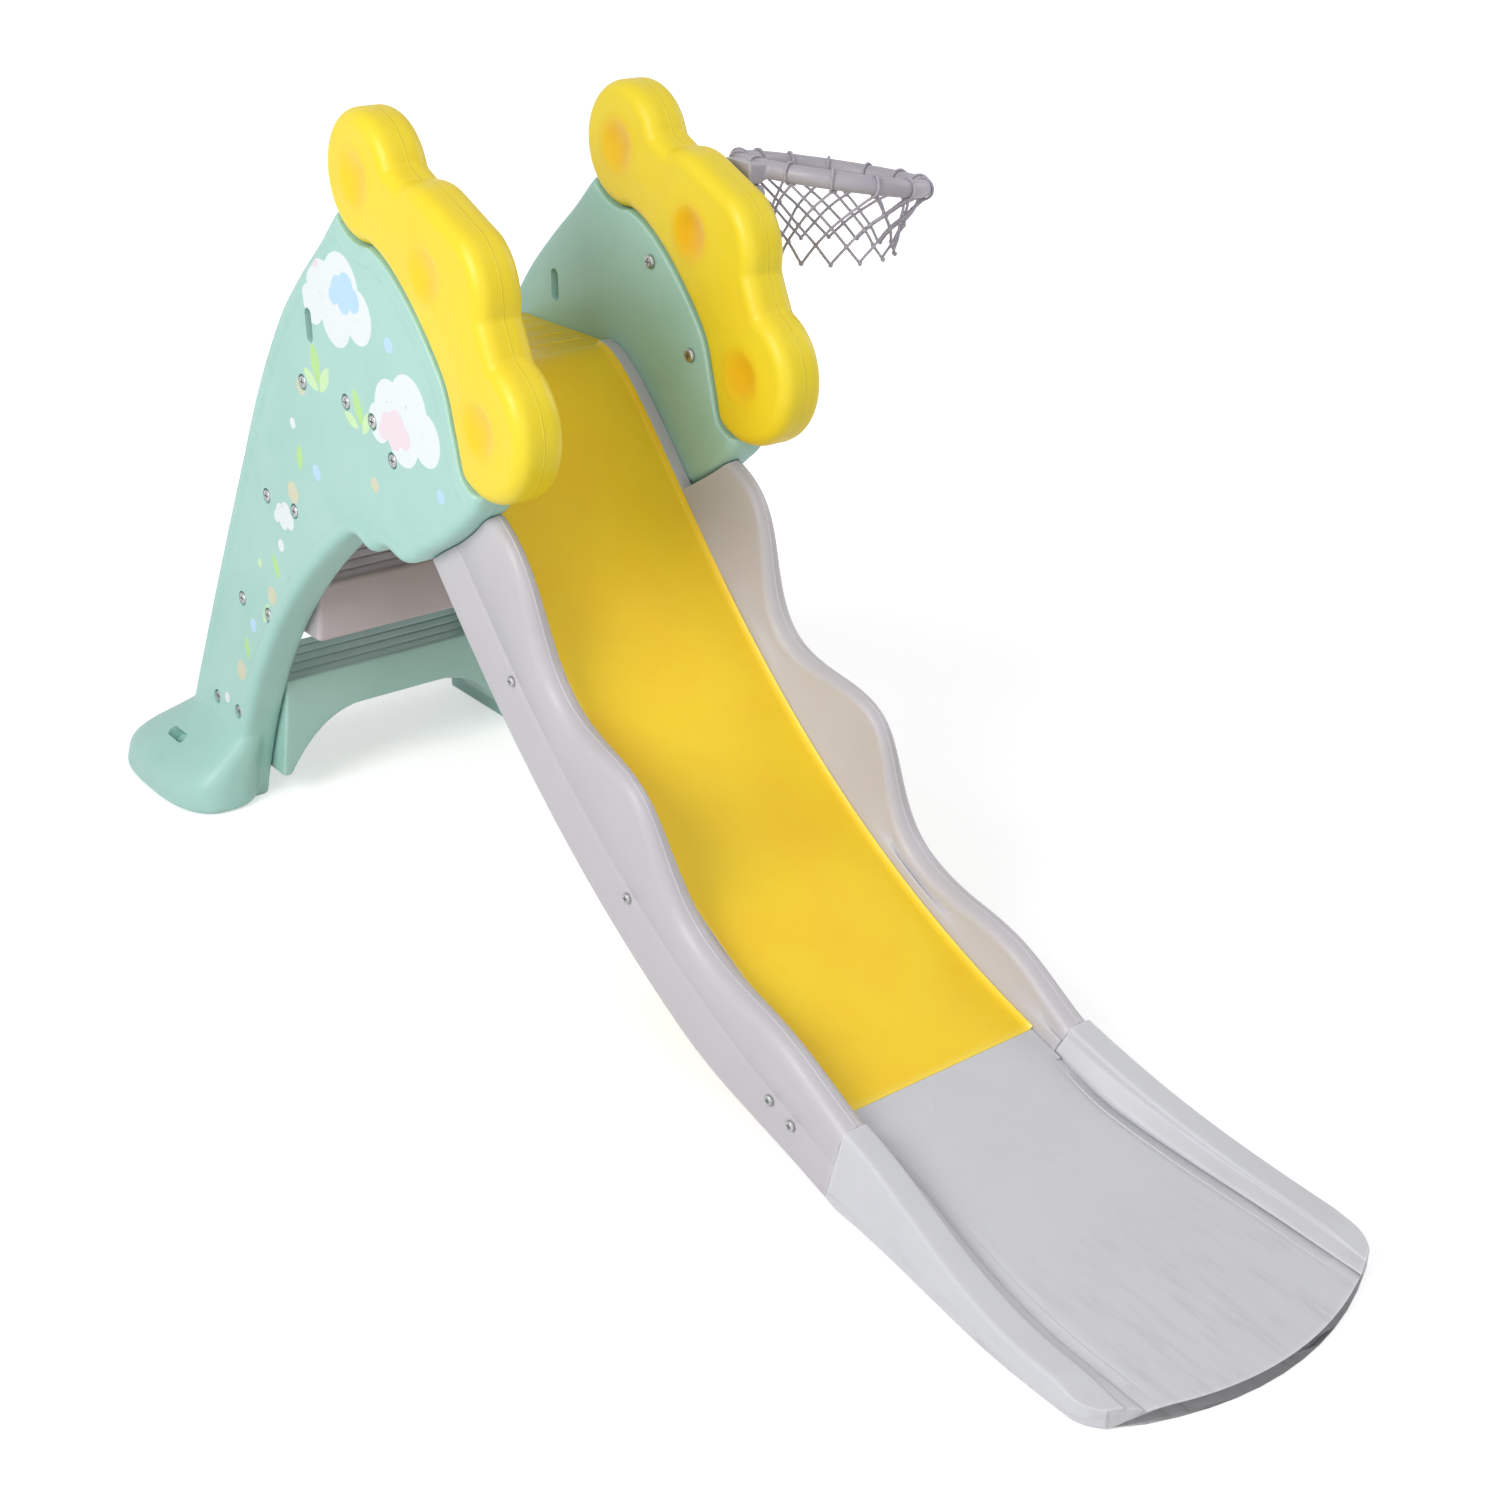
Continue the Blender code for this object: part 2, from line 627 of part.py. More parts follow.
def foot_ring(side, height, points=24):
    """Outline of the foot at a height: a rounded shoe that reaches out and back."""
    reach = ease((FOOT_TOP_Z - height) / (FOOT_TOP_Z - FOOT_RIM_Z))
    trim = FOOT_SOLE_ROUND * (1 - min(1.0, height / FOOT_SOLE_ROUND)) ** 2
    lean = flare(height)
    inner = INNER_HALF + lean + FOOT_INSET + trim
    outer = PANEL_OUTER + lean - FOOT_INSET + FOOT_SPREAD * reach - trim
    front = FOOT_FRONT_Y - FOOT_TOE * reach + trim
    rear = y_at(LEG_REAR, height) - FOOT_INSET + FOOT_HEEL * reach - trim
    middle = Vector(((inner + outer) / 2, (front + rear) / 2))
    half = Vector(((outer - inner) / 2, (rear - front) / 2))
    ring = []
    for index in range(points):
        angle = 2 * math.pi * index / points
        across = math.copysign(abs(math.cos(angle)) ** FOOT_ROUNDNESS, math.cos(angle))
        along = math.copysign(abs(math.sin(angle)) ** FOOT_ROUNDNESS, math.sin(angle))
        ring.append((side * (middle.x + half.x * across), middle.y + half.y * along, height))
    return ring


def foot_mesh(side):
    """Foot of a leg, from its flat sole up into the leg."""
    heights = [0.0, 0.3 * FOOT_SOLE_ROUND, FOOT_SOLE_ROUND, FOOT_RIM_Z]
    heights += [FOOT_RIM_Z + (FOOT_TOP_Z - FOOT_RIM_Z) * step / 5 for step in range(1, 6)]
    return loft_mesh("foot", [foot_ring(side, height) for height in heights])


def foot_slot_mesh(side):
    """Rounded slot in the sloping outer top of the foot."""
    half = (FOOT_SLOT_LENGTH - FOOT_SLOT_WIDTH) / 2
    points = arc((half, 0.0), FOOT_SLOT_WIDTH / 2, -90, 90, 5)
    points += arc((-half, 0.0), FOOT_SLOT_WIDTH / 2, 90, 270, 5)
    mesh = plate_mesh("foot_slot", points, 0.0, FOOT_SLOT_DEPTH * 2)
    middle = (side * (PANEL_OUTER + flare(FOOT_SLOT_Z) + FOOT_SLOT_OUT),
              FOOT_FRONT_Y + FOOT_SLOT_BACK, FOOT_SLOT_Z)
    mesh.transform(Matrix.Translation(middle) @ Matrix.Rotation(-side * FOOT_SLOT_TURN, 4, "Y"))
    return mesh


def tab_mesh(side, spot, play):
    """Tab of a guard, or with play added the pocket for it, square to the seam."""
    y, z = from_deck(spot[:2])
    turn = spot[2]
    along = Vector((math.cos(turn), math.sin(turn)))
    middle = Vector((y, z)) + along * (TAB_LENGTH - TAB_ROOT) / 2
    long_half = (TAB_LENGTH + TAB_ROOT) / 2 + play
    wide_half = TAB_WIDTH / 2 + play
    thick_half = TAB_THICKNESS / 2 + play
    return box_mesh("tab", (side * PANEL_MIDDLE - thick_half, side * PANEL_MIDDLE + thick_half),
                    (middle.x - long_half, middle.x + long_half),
                    (middle.y - wide_half, middle.y + wide_half), turn)


def guard(side, tag, carries_socket):
    """Hand guard with rounded rims, dimples in its lobes and two tabs for the panel.

    Both faces have a dimple in each lobe, but the middle one gives way to a hoop's socket.
    """
    mesh = plate_mesh("guard_" + tag, guard_outline(), side * PANEL_MIDDLE, GUARD_THICKNESS, GUARD_EDGE, 2)
    made = piece("guard_" + tag, mesh, YELLOW)
    for spot, name in ((TAB_UPPER, "upper"), (TAB_LOWER, "lower")):
        combine(made, cutter("tab_" + name + "_" + tag, tab_mesh(side, spot, 0.0)), "UNION")
    middle_lobe = [(LOBE_MIDDLE_REAR[axis] + LOBE_MIDDLE_FRONT[axis]) / 2 for axis in (0, 1)]
    bowl = (DIMPLE_RADIUS ** 2 + DIMPLE_DEPTH ** 2) / (2 * DIMPLE_DEPTH)
    shape = bmesh.new()
    for centre in (LOBE_TOP, middle_lobe, LOBE_LOW):
        y, z = from_deck(centre[:2])
        for face in (-1, 1):
            if carries_socket and face > 0 and centre is middle_lobe:
                continue
            x = side * (PANEL_MIDDLE + face * (GUARD_THICKNESS / 2 + bowl - DIMPLE_DEPTH))
            turn = Matrix.Translation((x, y, z)) @ Matrix.Rotation(math.pi / 2, 4, "Y")
            bmesh.ops.create_uvsphere(shape, u_segments=14, v_segments=16, radius=bowl, matrix=turn)
    combine(made, cutter("dimples_" + tag, from_bmesh("dimples", shape)), "DIFFERENCE")
    return made


def chute_bed():
    """Yellow bed: a thin plate with coved edges, side flanges and cross ribs below."""
    inner = BED_HALF - BED_FLANGE_WALL
    section = [(-BED_HALF, BED_COVE_RISE), (-BED_HALF + BED_COVE * 0.4, BED_COVE_RISE * 0.35),
               (-BED_HALF + BED_COVE, 0.0), (BED_HALF - BED_COVE, 0.0),
               (BED_HALF - BED_COVE * 0.4, BED_COVE_RISE * 0.35), (BED_HALF, BED_COVE_RISE),
               (BED_HALF, -BED_FLANGE_DROP), (inner, -BED_FLANGE_DROP), (inner, -BED_PLATE),
               (-inner, -BED_PLATE), (-inner, -BED_FLANGE_DROP), (-BED_HALF, -BED_FLANGE_DROP)]
    rings = []
    for station in stations_between(0.0, BED_LENGTH, BED_STATIONS):
        ring = []
        for x, height in section:
            y, z = on_path(station, height)
            ring.append((x, y, z))
        rings.append(ring)
    bed = piece("chute_bed", loft_mesh("chute_bed", rings), YELLOW)
    for number, station in enumerate(BED_RIB_STATIONS, 1):
        y, z = on_path(station, -(BED_PLATE + BED_RIB_DROP) / 2)
        ahead = on_path(station + MM, -(BED_PLATE + BED_RIB_DROP) / 2)
        turn = math.atan2(ahead[1] - z, ahead[0] - y)
        deep = BED_RIB_DROP - BED_PLATE + 2 * BED_RIB_SINK
        rib = box_mesh("rib", (-inner - BED_RIB_SINK, inner + BED_RIB_SINK),
                       (y - BED_RIB_THICKNESS / 2, y + BED_RIB_THICKNESS / 2),
                       (z - deep / 2, z + deep / 2), turn)
        combine(bed, cutter("bed_rib_" + str(number), rib), "UNION")
    return bed


def rail_ring(side, station):
    """Section of a rail: upright below the bed, leaning outwards and thinner above it."""
    rise = rail_rise(station)
    drop = rail_drop(station)
    inner_top = RAIL_INNER + RAIL_LEAN_INNER * rise
    outer_top = RAIL_OUTER + RAIL_LEAN_OUTER * rise
    round_half = (outer_top - inner_top) / 2
    round_rise = min(round_half, rise * 0.6)
    section = [(RAIL_INNER + RAIL_EDGE, -drop), (RAIL_OUTER - RAIL_EDGE, -drop),
               (RAIL_OUTER, RAIL_EDGE - drop), (RAIL_OUTER, 0.0)]
    for step in range(6):
        angle = math.pi * step / 5
        section.append(((inner_top + outer_top) / 2 + round_half * math.cos(angle),
                        rise - round_rise + round_rise * math.sin(angle)))
    section += [(RAIL_INNER, BED_COVE_RISE + MM),
                (RAIL_INNER, RAIL_EDGE - drop)]
    return [(side * x, *on_path(station, height)) for x, height in section]


def stations_between(start, stop, count):
    """Evenly spaced stations, both ends included."""
    return [start + (stop - start) * step / count for step in range(count + 1)]


def chute_rail(side, tag, panel_cut):
    """Wavy rail, cut to the panel's nose, with a flat ear that runs on inside the panel."""
    stations = stations_between(-RAIL_TAIL, BED_LENGTH - RAIL_BODY_SHORT, RAIL_STATIONS)
    mesh = loft_mesh("chute_rail_" + tag, [rail_ring(side, station) for station in stations])
    rail = piece("chute_rail_" + tag, mesh, LILAC)
    combine(rail, panel_cut, "DIFFERENCE")
    ear_outer = INNER_HALF - GAP
    rings = []
    for station in stations_between(BED_LENGTH - EAR_LENGTH, BED_LENGTH - EAR_SHORT, EAR_STATIONS):
        rings.append([(side * x, *on_path(station, height)) for x, height in
                      ((RAIL_INNER, -BED_FLANGE_DROP), (ear_outer, -BED_FLANGE_DROP),
                       (ear_outer, BED_COVE_RISE), (RAIL_INNER, BED_COVE_RISE))])
    combine(rail, cutter("rail_ear_" + tag, loft_mesh("rail_ear", rings)), "UNION")
    return rail


def tray_ring(station, start):
    """Section of the run-out: flat floor between sloped, rolled lips."""
    spot, along = frame_at(station)
    normal = Vector((-along.y, along.x))
    share = (station - start) / (-RUN_LENGTH - start)
    half = RAIL_OUTER + (RUN_OUT_HALF - RAIL_OUTER) * ease(share * RUN_OUT_WIDENING)
    lip_first = rail_rise(-RAIL_TAIL)
    lip = lip_first + (RUN_OUT_LIP_END - lip_first) * ease(share * RUN_OUT_WIDENING)
    lip *= 1.0 - RUN_OUT_TIP_LOSS * ease((share - RUN_OUT_TIP_START) / (1 - RUN_OUT_TIP_START))
    drop = min(RAIL_END_DROP, spot.y / normal.y)
    lip_half = half - RUN_OUT_LIP_WIDTH
    floor_half = lip_half - RUN_OUT_LIP_SLOPE
    rim = min(RUN_OUT_EDGE, lip * 0.45)
    side = [(half - RUN_OUT_EDGE, -drop), (half, rim - drop), (half, lip - rim),
            (half - 0.3 * rim, lip - 0.3 * rim), (half - rim, lip),
            (lip_half + 0.4 * rim, lip), (lip_half, lip * 0.82),
            (floor_half + 0.35 * RUN_OUT_LIP_SLOPE, lip * 0.14), (floor_half, 0.0)]
    floor = [(floor_half * across, 0.0) for across in (0.75, 0.45, 0.15, -0.15, -0.45, -0.75)]
    under = [((half - RUN_OUT_EDGE) * across, -drop) for across in (-0.7, -0.35, 0.0, 0.35, 0.7)]
    section = side + floor + [(-x, height) for x, height in reversed(side)] + under
    ring = []
    for x, height in section:
        bulge = RUN_OUT_BULGE * (1 - (x / half) ** 2) * max(0.0, share) ** 2
        place = spot + normal * height
        ring.append((x, place.x - bulge, max(0.0, place.y)))
    return ring


def run_out():
    """Shallow run-out tray with rolled lips and a bowed end, its neck and tongue under the bed."""
    start = -RAIL_TAIL - GAP
    stations = stations_between(start, -RUN_LENGTH, RUN_OUT_STATIONS)
    tray = piece("run_out", loft_mesh("run_out", [tray_ring(station, start) for station in stations]), GREY)
    neck = []
    for station in (-RAIL_TAIL - NECK_LAP, -RAIL_TAIL / 2, -GAP):
        neck.append([(x, *on_path(station, height)) for x, height in
                     ((-BED_HALF, 0.0), (BED_HALF, 0.0),
                      (BED_HALF, -NECK_DROP), (-BED_HALF, -NECK_DROP))])
    combine(tray, cutter("run_out_neck", loft_mesh("neck", neck)), "UNION")
    half = BED_HALF - BED_FLANGE_WALL - GAP
    tongue = []
    for station in (-RAIL_TAIL / 2, 0.0, TONGUE_LENGTH / 3, TONGUE_LENGTH * 2 / 3, TONGUE_LENGTH):
        tongue.append([(x, *on_path(station, height)) for x, height in
                       ((-half, -BED_PLATE - GAP), (half, -BED_PLATE - GAP),
                        (half, -TONGUE_DEPTH), (-half, -TONGUE_DEPTH))])
    combine(tray, cutter("run_out_tongue", loft_mesh("tongue", tongue)), "UNION")
    return tray


def leg_side_points(low, high):
    """Half-width points that follow the leaning inner face of a leg between two heights."""
    heights = [low] + [level for level in FLARE_LEVELS if low + MM < level < high - MM] + [high]
    return [(INNER_HALF + flare(height) - GAP, height) for height in heights]


def tread_ribs(name, half, y_span, top):
    """Raised anti-slip ribs of a tread, sunk a little into it."""
    shape = bmesh.new()
    pitch = (y_span[1] - y_span[0]) / (TREAD_RIB_COUNT + 1)
    for number in range(1, TREAD_RIB_COUNT + 1):
        middle = (0.0, y_span[0] + pitch * number, top)
        size = (2 * (half - TREAD_RIB_SIDE), TREAD_RIB_WIDTH, 2 * TREAD_RIB_HEIGHT, 1.0)
        bmesh.ops.create_cube(shape, size=1.0, matrix=Matrix.Translation(middle) @ Matrix.Diagonal(size))
    return cutter(name, from_bmesh(name, shape))


def rounded_tray(name, section, y_span, look, edge):
    """Tread or deck: an (x, z) section run along Y, with rounded edges."""
    middle = (y_span[0] + y_span[1]) / 2
    mesh = plate_mesh(name, section, middle, y_span[1] - y_span[0], across="Y")
    made = piece(name, mesh, look)
    weld = made.modifiers.new("weld", "WELD")
    weld.merge_threshold = 0.00001
    bevel = made.modifiers.new("edges", "BEVEL")
    bevel.width = edge
    bevel.segments = 2
    bevel.limit_method = "ANGLE"
    bevel.angle_limit = math.radians(40)
    return made


def hollow_below(target, name, half, y_span, z_span, wall, bays):
    """Open bays under a tread or deck, with a web between them."""
    width = (2 * half - wall * (bays + 1)) / bays
    shape = bmesh.new()
    for bay in range(bays):
        left = -half + wall + bay * (width + wall)
        size = (width, y_span[1] - y_span[0] - 2 * wall, z_span[1] - z_span[0], 1.0)
        middle = (left + width / 2, (y_span[0] + y_span[1]) / 2, (z_span[0] + z_span[1]) / 2)
        bmesh.ops.create_cube(shape, size=1.0, matrix=Matrix.Translation(middle) @ Matrix.Diagonal(size))
    combine(target, cutter(name, from_bmesh(name, shape)), "DIFFERENCE")


def step_span(top, depth=STEP_DEPTH):
    """Y span of a step, set in from the rear edge of the legs."""
    rear = y_at(LEG_REAR, top) - STEP_REAR_INSET
    return (rear - depth, rear)


def step(name, top):
    """Tread with a deep skirt, hollow below."""
    span = step_span(top)
    low = top - STEP_THICKNESS
    right = leg_side_points(low, top)
    section = right + [(-x, z) for x, z in reversed(right)]
    made = rounded_tray(name, section, span, LILAC, STEP_EDGE)
    half = INNER_HALF + flare(top) - GAP
    combine(made, tread_ribs(name + "_ribs", half, span, top), "UNION")
    hollow_below(made, name + "_bays", half - STEP_WALL, span,
                 (low - CUT_PAST, top - STEP_WALL), STEP_WALL, 2)
    return made


def base_step():
    """Lowest step: a cross beam between the feet with an arched lower edge."""
    span = step_span(STEP_BASE_Z, BASE_DEPTH)
    right = leg_side_points(BASE_FOOT_Z, STEP_BASE_Z)
    arch = bezier(((-right[0][0] + BASE_TOE_WIDTH, BASE_FOOT_Z), (-BASE_ARCH_FLANK, BASE_CROWN_Z),
                   (-BASE_ARCH_FLAT, BASE_CROWN_Z)), 6)
    lower = arch + [(-x, z) for x, z in reversed(arch)]
    section = right + [(-x, z) for x, z in reversed(right)] + lower
    made = rounded_tray("step_base", section, span, MINT, BASE_EDGE)
    half = INNER_HALF + flare(STEP_BASE_Z) - GAP
    combine(made, tread_ribs("step_base_ribs", half, span, STEP_BASE_Z), "UNION")
    return made


def deck():
    """Floor at the top of the ladder, hollow below, with anti-slip ribs."""
    half = INNER_HALF - GAP
    span = (DECK_FRONT_Y + GAP, DECK_REAR_Y)
    low = DECK_Z - DECK_THICKNESS
    section = [(half, low), (half, DECK_Z), (-half, DECK_Z), (-half, low)]
    made = rounded_tray("deck", section, span, YELLOW, DECK_EDGE)
    combine(made, tread_ribs("deck_ribs", half, span, DECK_Z), "UNION")
    hollow_below(made, "deck_bays", half - DECK_WALL, span,
                 (low - CUT_PAST, DECK_Z - DECK_WALL), DECK_WALL, 3)
    return made


# Hoop

def hoop_socket():
    """Socket on the guard, with an upright slot for the hoop's tongue."""
    top = SOCKET_TOP_Z
    low = top - SOCKET_HEIGHT
    half = SOCKET_WIDTH / 2 - SOCKET_CORNER
    corners = ((half, top - SOCKET_CORNER, 0), (-half, top - SOCKET_CORNER, 90),
               (-half, low + SOCKET_CORNER, 180), (half, low + SOCKET_CORNER, 270))
    outline = []
    for shift, z, start in corners:
        outline += arc((HOOP_Y + shift, z), SOCKET_CORNER, start, start + 90, 3)
    mesh = plate_mesh("hoop_socket", outline, TONGUE_X, SOCKET_DEPTH, SOCKET_EDGE)
    made = piece("hoop_socket", mesh, LILAC)
    thick = TONGUE_THICK / 2 + SOCKET_PLAY
    wide = TONGUE_HALF + SOCKET_PLAY
    slot = box_mesh("slot", (TONGUE_X - thick, TONGUE_X + thick), (HOOP_Y - wide, HOOP_Y + wide),
                    (low - CUT_PAST, top + CUT_PAST))
    combine(made, cutter("socket_slot", slot), "DIFFERENCE")
    return made


def in_hoop(radius, angle, height, lean=1.0):
    """Point at a radius and angle round the hoop and a height over its plane.

    The hoop's plane starts over the tongue and slopes down outwards, by all or part of its tilt.
    """
    tilt = HOOP_TILT * lean
    out = HOOP_REACH + radius * math.cos(angle)
    return (TONGUE_X + HOOP_REACH * math.cos(HOOP_TILT) + (out - HOOP_REACH) * math.cos(tilt),
            HOOP_Y + radius * math.sin(angle),
            HOOP_ROOT_Z - HOOP_REACH * math.sin(HOOP_TILT) - (out - HOOP_REACH) * math.sin(tilt) + height)


def hoop_ring():
    """Round hoop with a gusseted arm and a tongue that drops into the socket."""
    shape = bmesh.new()
    sections = []
    for step in range(HOOP_STEPS):
        angle = 2 * math.pi * step / HOOP_STEPS
        section = []
        for side in range(HOOP_SIDES):
            turn = 2 * math.pi * (side + 0.5) / HOOP_SIDES
            section.append(shape.verts.new(in_hoop(HOOP_RADIUS + HOOP_TUBE * math.cos(turn), angle,
                                                   HOOP_TUBE * math.sin(turn))))
        sections.append(section)
    for step in range(HOOP_STEPS):
        here, ahead = sections[step - 1], sections[step]
        for side in range(HOOP_SIDES):
            shape.faces.new((here[side - 1], here[side], ahead[side], ahead[side - 1]))
    ring = piece("hoop_ring", from_bmesh("hoop_ring", shape), LILAC)
    low = SOCKET_TOP_Z + GAP
    inner = TONGUE_X - TONGUE_THICK / 2
    thick = ARM_HALF_THICKNESS
    meet = in_hoop(-HOOP_RADIUS, 0.0, 0.0)
    outline = [(inner, low), (TONGUE_X + SOCKET_DEPTH / 2, low), (meet[0], meet[2] - thick),
               (meet[0], meet[2] + thick), (inner, HOOP_ROOT_Z + thick)]
    arm = plate_mesh("arm", outline, HOOP_Y, 2 * ARM_HALF, across="Y")
    combine(ring, cutter("hoop_arm", arm), "UNION")
    tongue = box_mesh("tongue", (inner, TONGUE_X + TONGUE_THICK / 2),
                      (HOOP_Y - TONGUE_HALF, HOOP_Y + TONGUE_HALF),
                      (SOCKET_TOP_Z - TONGUE_REACH, low + thick))
    combine(ring, cutter("hoop_tongue", tongue), "UNION")
    return ring


def hoop_net():
    """Short net under the hoop: a lattice of strands that narrows and levels out downwards."""
    shape = bmesh.new()
    top = HOOP_TUBE * math.cos(math.pi / HOOP_SIDES) + GAP + NET_STRAND / 2
    levels = []
    for row in range(NET_ROWS + 1):
        share = row / NET_ROWS
        radius = HOOP_RADIUS + (NET_END_RADIUS - HOOP_RADIUS) * math.sin(share * math.pi / 2)
        ring = []
        for column in range(NET_COLUMNS):
            angle = 2 * math.pi * (column + 0.5 * (row % 2)) / NET_COLUMNS
            ring.append(shape.verts.new(in_hoop(radius, angle, -top - NET_DEPTH * share, 1 - share)))
        levels.append(ring)
    for column in range(NET_COLUMNS):
        after = (column + 1) % NET_COLUMNS
        shape.faces.new((levels[0][column], levels[1][column], levels[0][after]))
    for row in range(NET_ROWS - 1):
        for column in range(NET_COLUMNS):
            left = (column - 1 + row % 2) % NET_COLUMNS
            right = (column + row % 2) % NET_COLUMNS
            shape.faces.new((levels[row][column], levels[row + 1][left],
                             levels[row + 2][column], levels[row + 1][right]))
    net = piece("hoop_net", from_bmesh("hoop_net", shape), NET_WHITE)
    strands = net.modifiers.new("strands", "WIREFRAME")
    strands.thickness = NET_STRAND
    strands.use_boundary = True
    strands.use_replace = True
    strands.use_even_offset = True
    strands.use_relative_offset = False
    return net


# Screws

def screw(name, spot, outwards, length, targets, radius=SCREW_RADIUS, head=SCREW_HEAD, pocket=0.0):
    """Round-headed screw with its hole, and a pocket for its head where one is asked for."""
    height = SCREW_HEAD_HEIGHT * head / SCREW_HEAD
    place = Matrix.Translation(spot) @ Vector(outwards).to_track_quat("Z", "Y").to_matrix().to_4x4()
    profile = ((0.0, height + GAP), (head * 0.7, height * 0.75 + GAP), (head, GAP),
               (radius, GAP), (radius, -length), (0.0, -length))
    turned(name, profile, place, SCREW_STEEL)
    bore = radius + HOLE_PLAY
    if pocket:
        hole = ((0.0, pocket), (POCKET_RADIUS, pocket), (POCKET_RADIUS, 0.0),
                (bore, 0.0), (bore, -length - MM), (0.0, -length - MM))
    else:
        hole = ((0.0, MM), (bore, MM), (bore, -length - MM), (0.0, -length - MM))
    tool = turned("hole_" + name, hole, place)
    for target in targets:
        combine(target, tool, "DIFFERENCE")


def panel_screw(name, side, y, z, reach_x, targets):
    """Screw from the panel's outer face, with its head in a pocket, down to an inner reach."""
    seat = PANEL_OUTER + flare(z) - POCKET_DEPTH
    length = seat - reach_x
    screw(name, (side * seat, y, z), (side, 0, 0), length, targets, pocket=POCKET_DEPTH + CUT_PAST)


def build():
    """Make every piece and put the screws in."""
    bed = chute_bed()
    tray = run_out()
    floor = deck()
    upper = step("step_upper", STEP_UPPER_Z)
    middle = step("step_middle", STEP_MIDDLE_Z)
    base = base_step()
    socket = hoop_socket()
    hoop_ring()
    hoop_net()
    for side, tag in ((-1, "left"), (1, "right")):
        guard_room = plate_mesh("guard_room", grow(guard_outline(), GAP), side * PANEL_MIDDLE,
                                PANEL_THICKNESS * 1.4)
        panel = side_panel(side, tag, cutter("guard_room_" + tag, guard_room))
        rest = guard(side, tag, carries_socket=side > 0)
        panel_room = plate_mesh("panel_room", grow(panel_outline(), PANEL_ROOM_PLAY),
                                side * PANEL_MIDDLE, 2 * (PANEL_MIDDLE - RAIL_INNER + GAP))
        rail = chute_rail(side, tag, cutter("panel_room_" + tag, panel_room))

        for number, spot in enumerate((TAB_UPPER, TAB_LOWER), 1):
            y, z = from_deck(spot[:2])
            y += math.cos(spot[2]) * TAB_LENGTH * GUARD_SCREW_SHARE
            z += math.sin(spot[2]) * TAB_LENGTH * GUARD_SCREW_SHARE
            seat = (side * INNER_HALF, y, z)
            screw("guard_screw_" + tag + "_" + str(number), seat, (-side, 0, 0),
                  PANEL_THICKNESS - GUARD_SCREW_SHORT, (panel, rest))

        for number, share in enumerate(DECK_SCREW_SHARES, 1):
            y = DECK_FRONT_Y + DECK_DEPTH * share
            z = DECK_Z - DECK_THICKNESS * DECK_SCREW_LEVEL
            panel_screw("deck_screw_" + tag + "_" + str(number), side, y, z,
                        INNER_HALF - SCREW_BITE, (panel, floor))

        for treads, label, top, depth in ((upper, "upper", STEP_UPPER_Z, STEP_DEPTH),
                                          (middle, "middle", STEP_MIDDLE_Z, STEP_DEPTH),
                                          (base, "base", STEP_BASE_Z, BASE_DEPTH)):
            span = step_span(top, depth)
            for number, share in enumerate(STEP_SCREW_SHARES, 1):
                y = span[0] + (span[1] - span[0]) * share
                z = top - STEP_THICKNESS / 2
                panel_screw("step_" + label + "_screw_" + tag + "_" + str(number), side, y, z,
                            INNER_HALF + flare(z) - SCREW_BITE, (panel, treads))

        for number, back in enumerate(CHUTE_SCREW_BACK, 1):
            y, z = on_path(BED_LENGTH - back, -BED_FLANGE_DROP * FLANGE_SCREW_LEVEL)
            panel_screw("chute_screw_" + tag + "_" + str(number), side, y, z,
                        BED_HALF - BED_FLANGE_WALL - FLANGE_SCREW_BITE, (panel, rail, bed))

        for number, station in enumerate(RAIL_SCREW_STATIONS, 1):
            y, z = on_path(station, -BED_FLANGE_DROP * FLANGE_SCREW_LEVEL)
            in_tongue = station < TONGUE_LENGTH
            targets = (rail, bed, tray) if in_tongue else (rail, bed)
            reach = BED_HALF - BED_FLANGE_WALL - (TONGUE_SCREW_BITE if in_tongue else FLANGE_SCREW_BITE)
            screw("rail_screw_" + tag + "_" + str(number), (side * RAIL_OUTER, y, z), (side, 0, 0),
                  RAIL_OUTER - reach, targets, head=RAIL_SCREW_HEAD)

        if side > 0:
            for number, shift in enumerate((-1, 1), 1):
                y = HOOP_Y + shift * (TONGUE_HALF + SOCKET_WIDTH / 2) / 2
                z = SOCKET_TOP_Z - SOCKET_HEIGHT / 2
                spot = (GUARD_OUTER + GAP + SOCKET_DEPTH, y, z)
                screw("socket_screw_" + str(number), spot, (1, 0, 0), SOCKET_DEPTH + SMALL_SCREW_BITE,
                      (socket, rest), radius=SMALL_SCREW_RADIUS, head=SMALL_SCREW_HEAD)


build()
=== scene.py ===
"""Looks of a toddler slide: moulded plastic pieces, a ball hoop with a knotted net, studio and camera.

Units are metres and +Z is up. The chute runs down towards -Y and the ladder stands at +Y. Outlines of
the upright pieces are (y, z) pairs, and places along the chute are given by the distance from the
lower end of the yellow bed and the height above its surface.
"""
from __future__ import annotations

import logging
import math
from dataclasses import dataclass
from enum import Enum
from functools import cache, cached_property
from typing import Callable, Sequence

import bpy
import numpy as np
from mathutils import Matrix, Vector


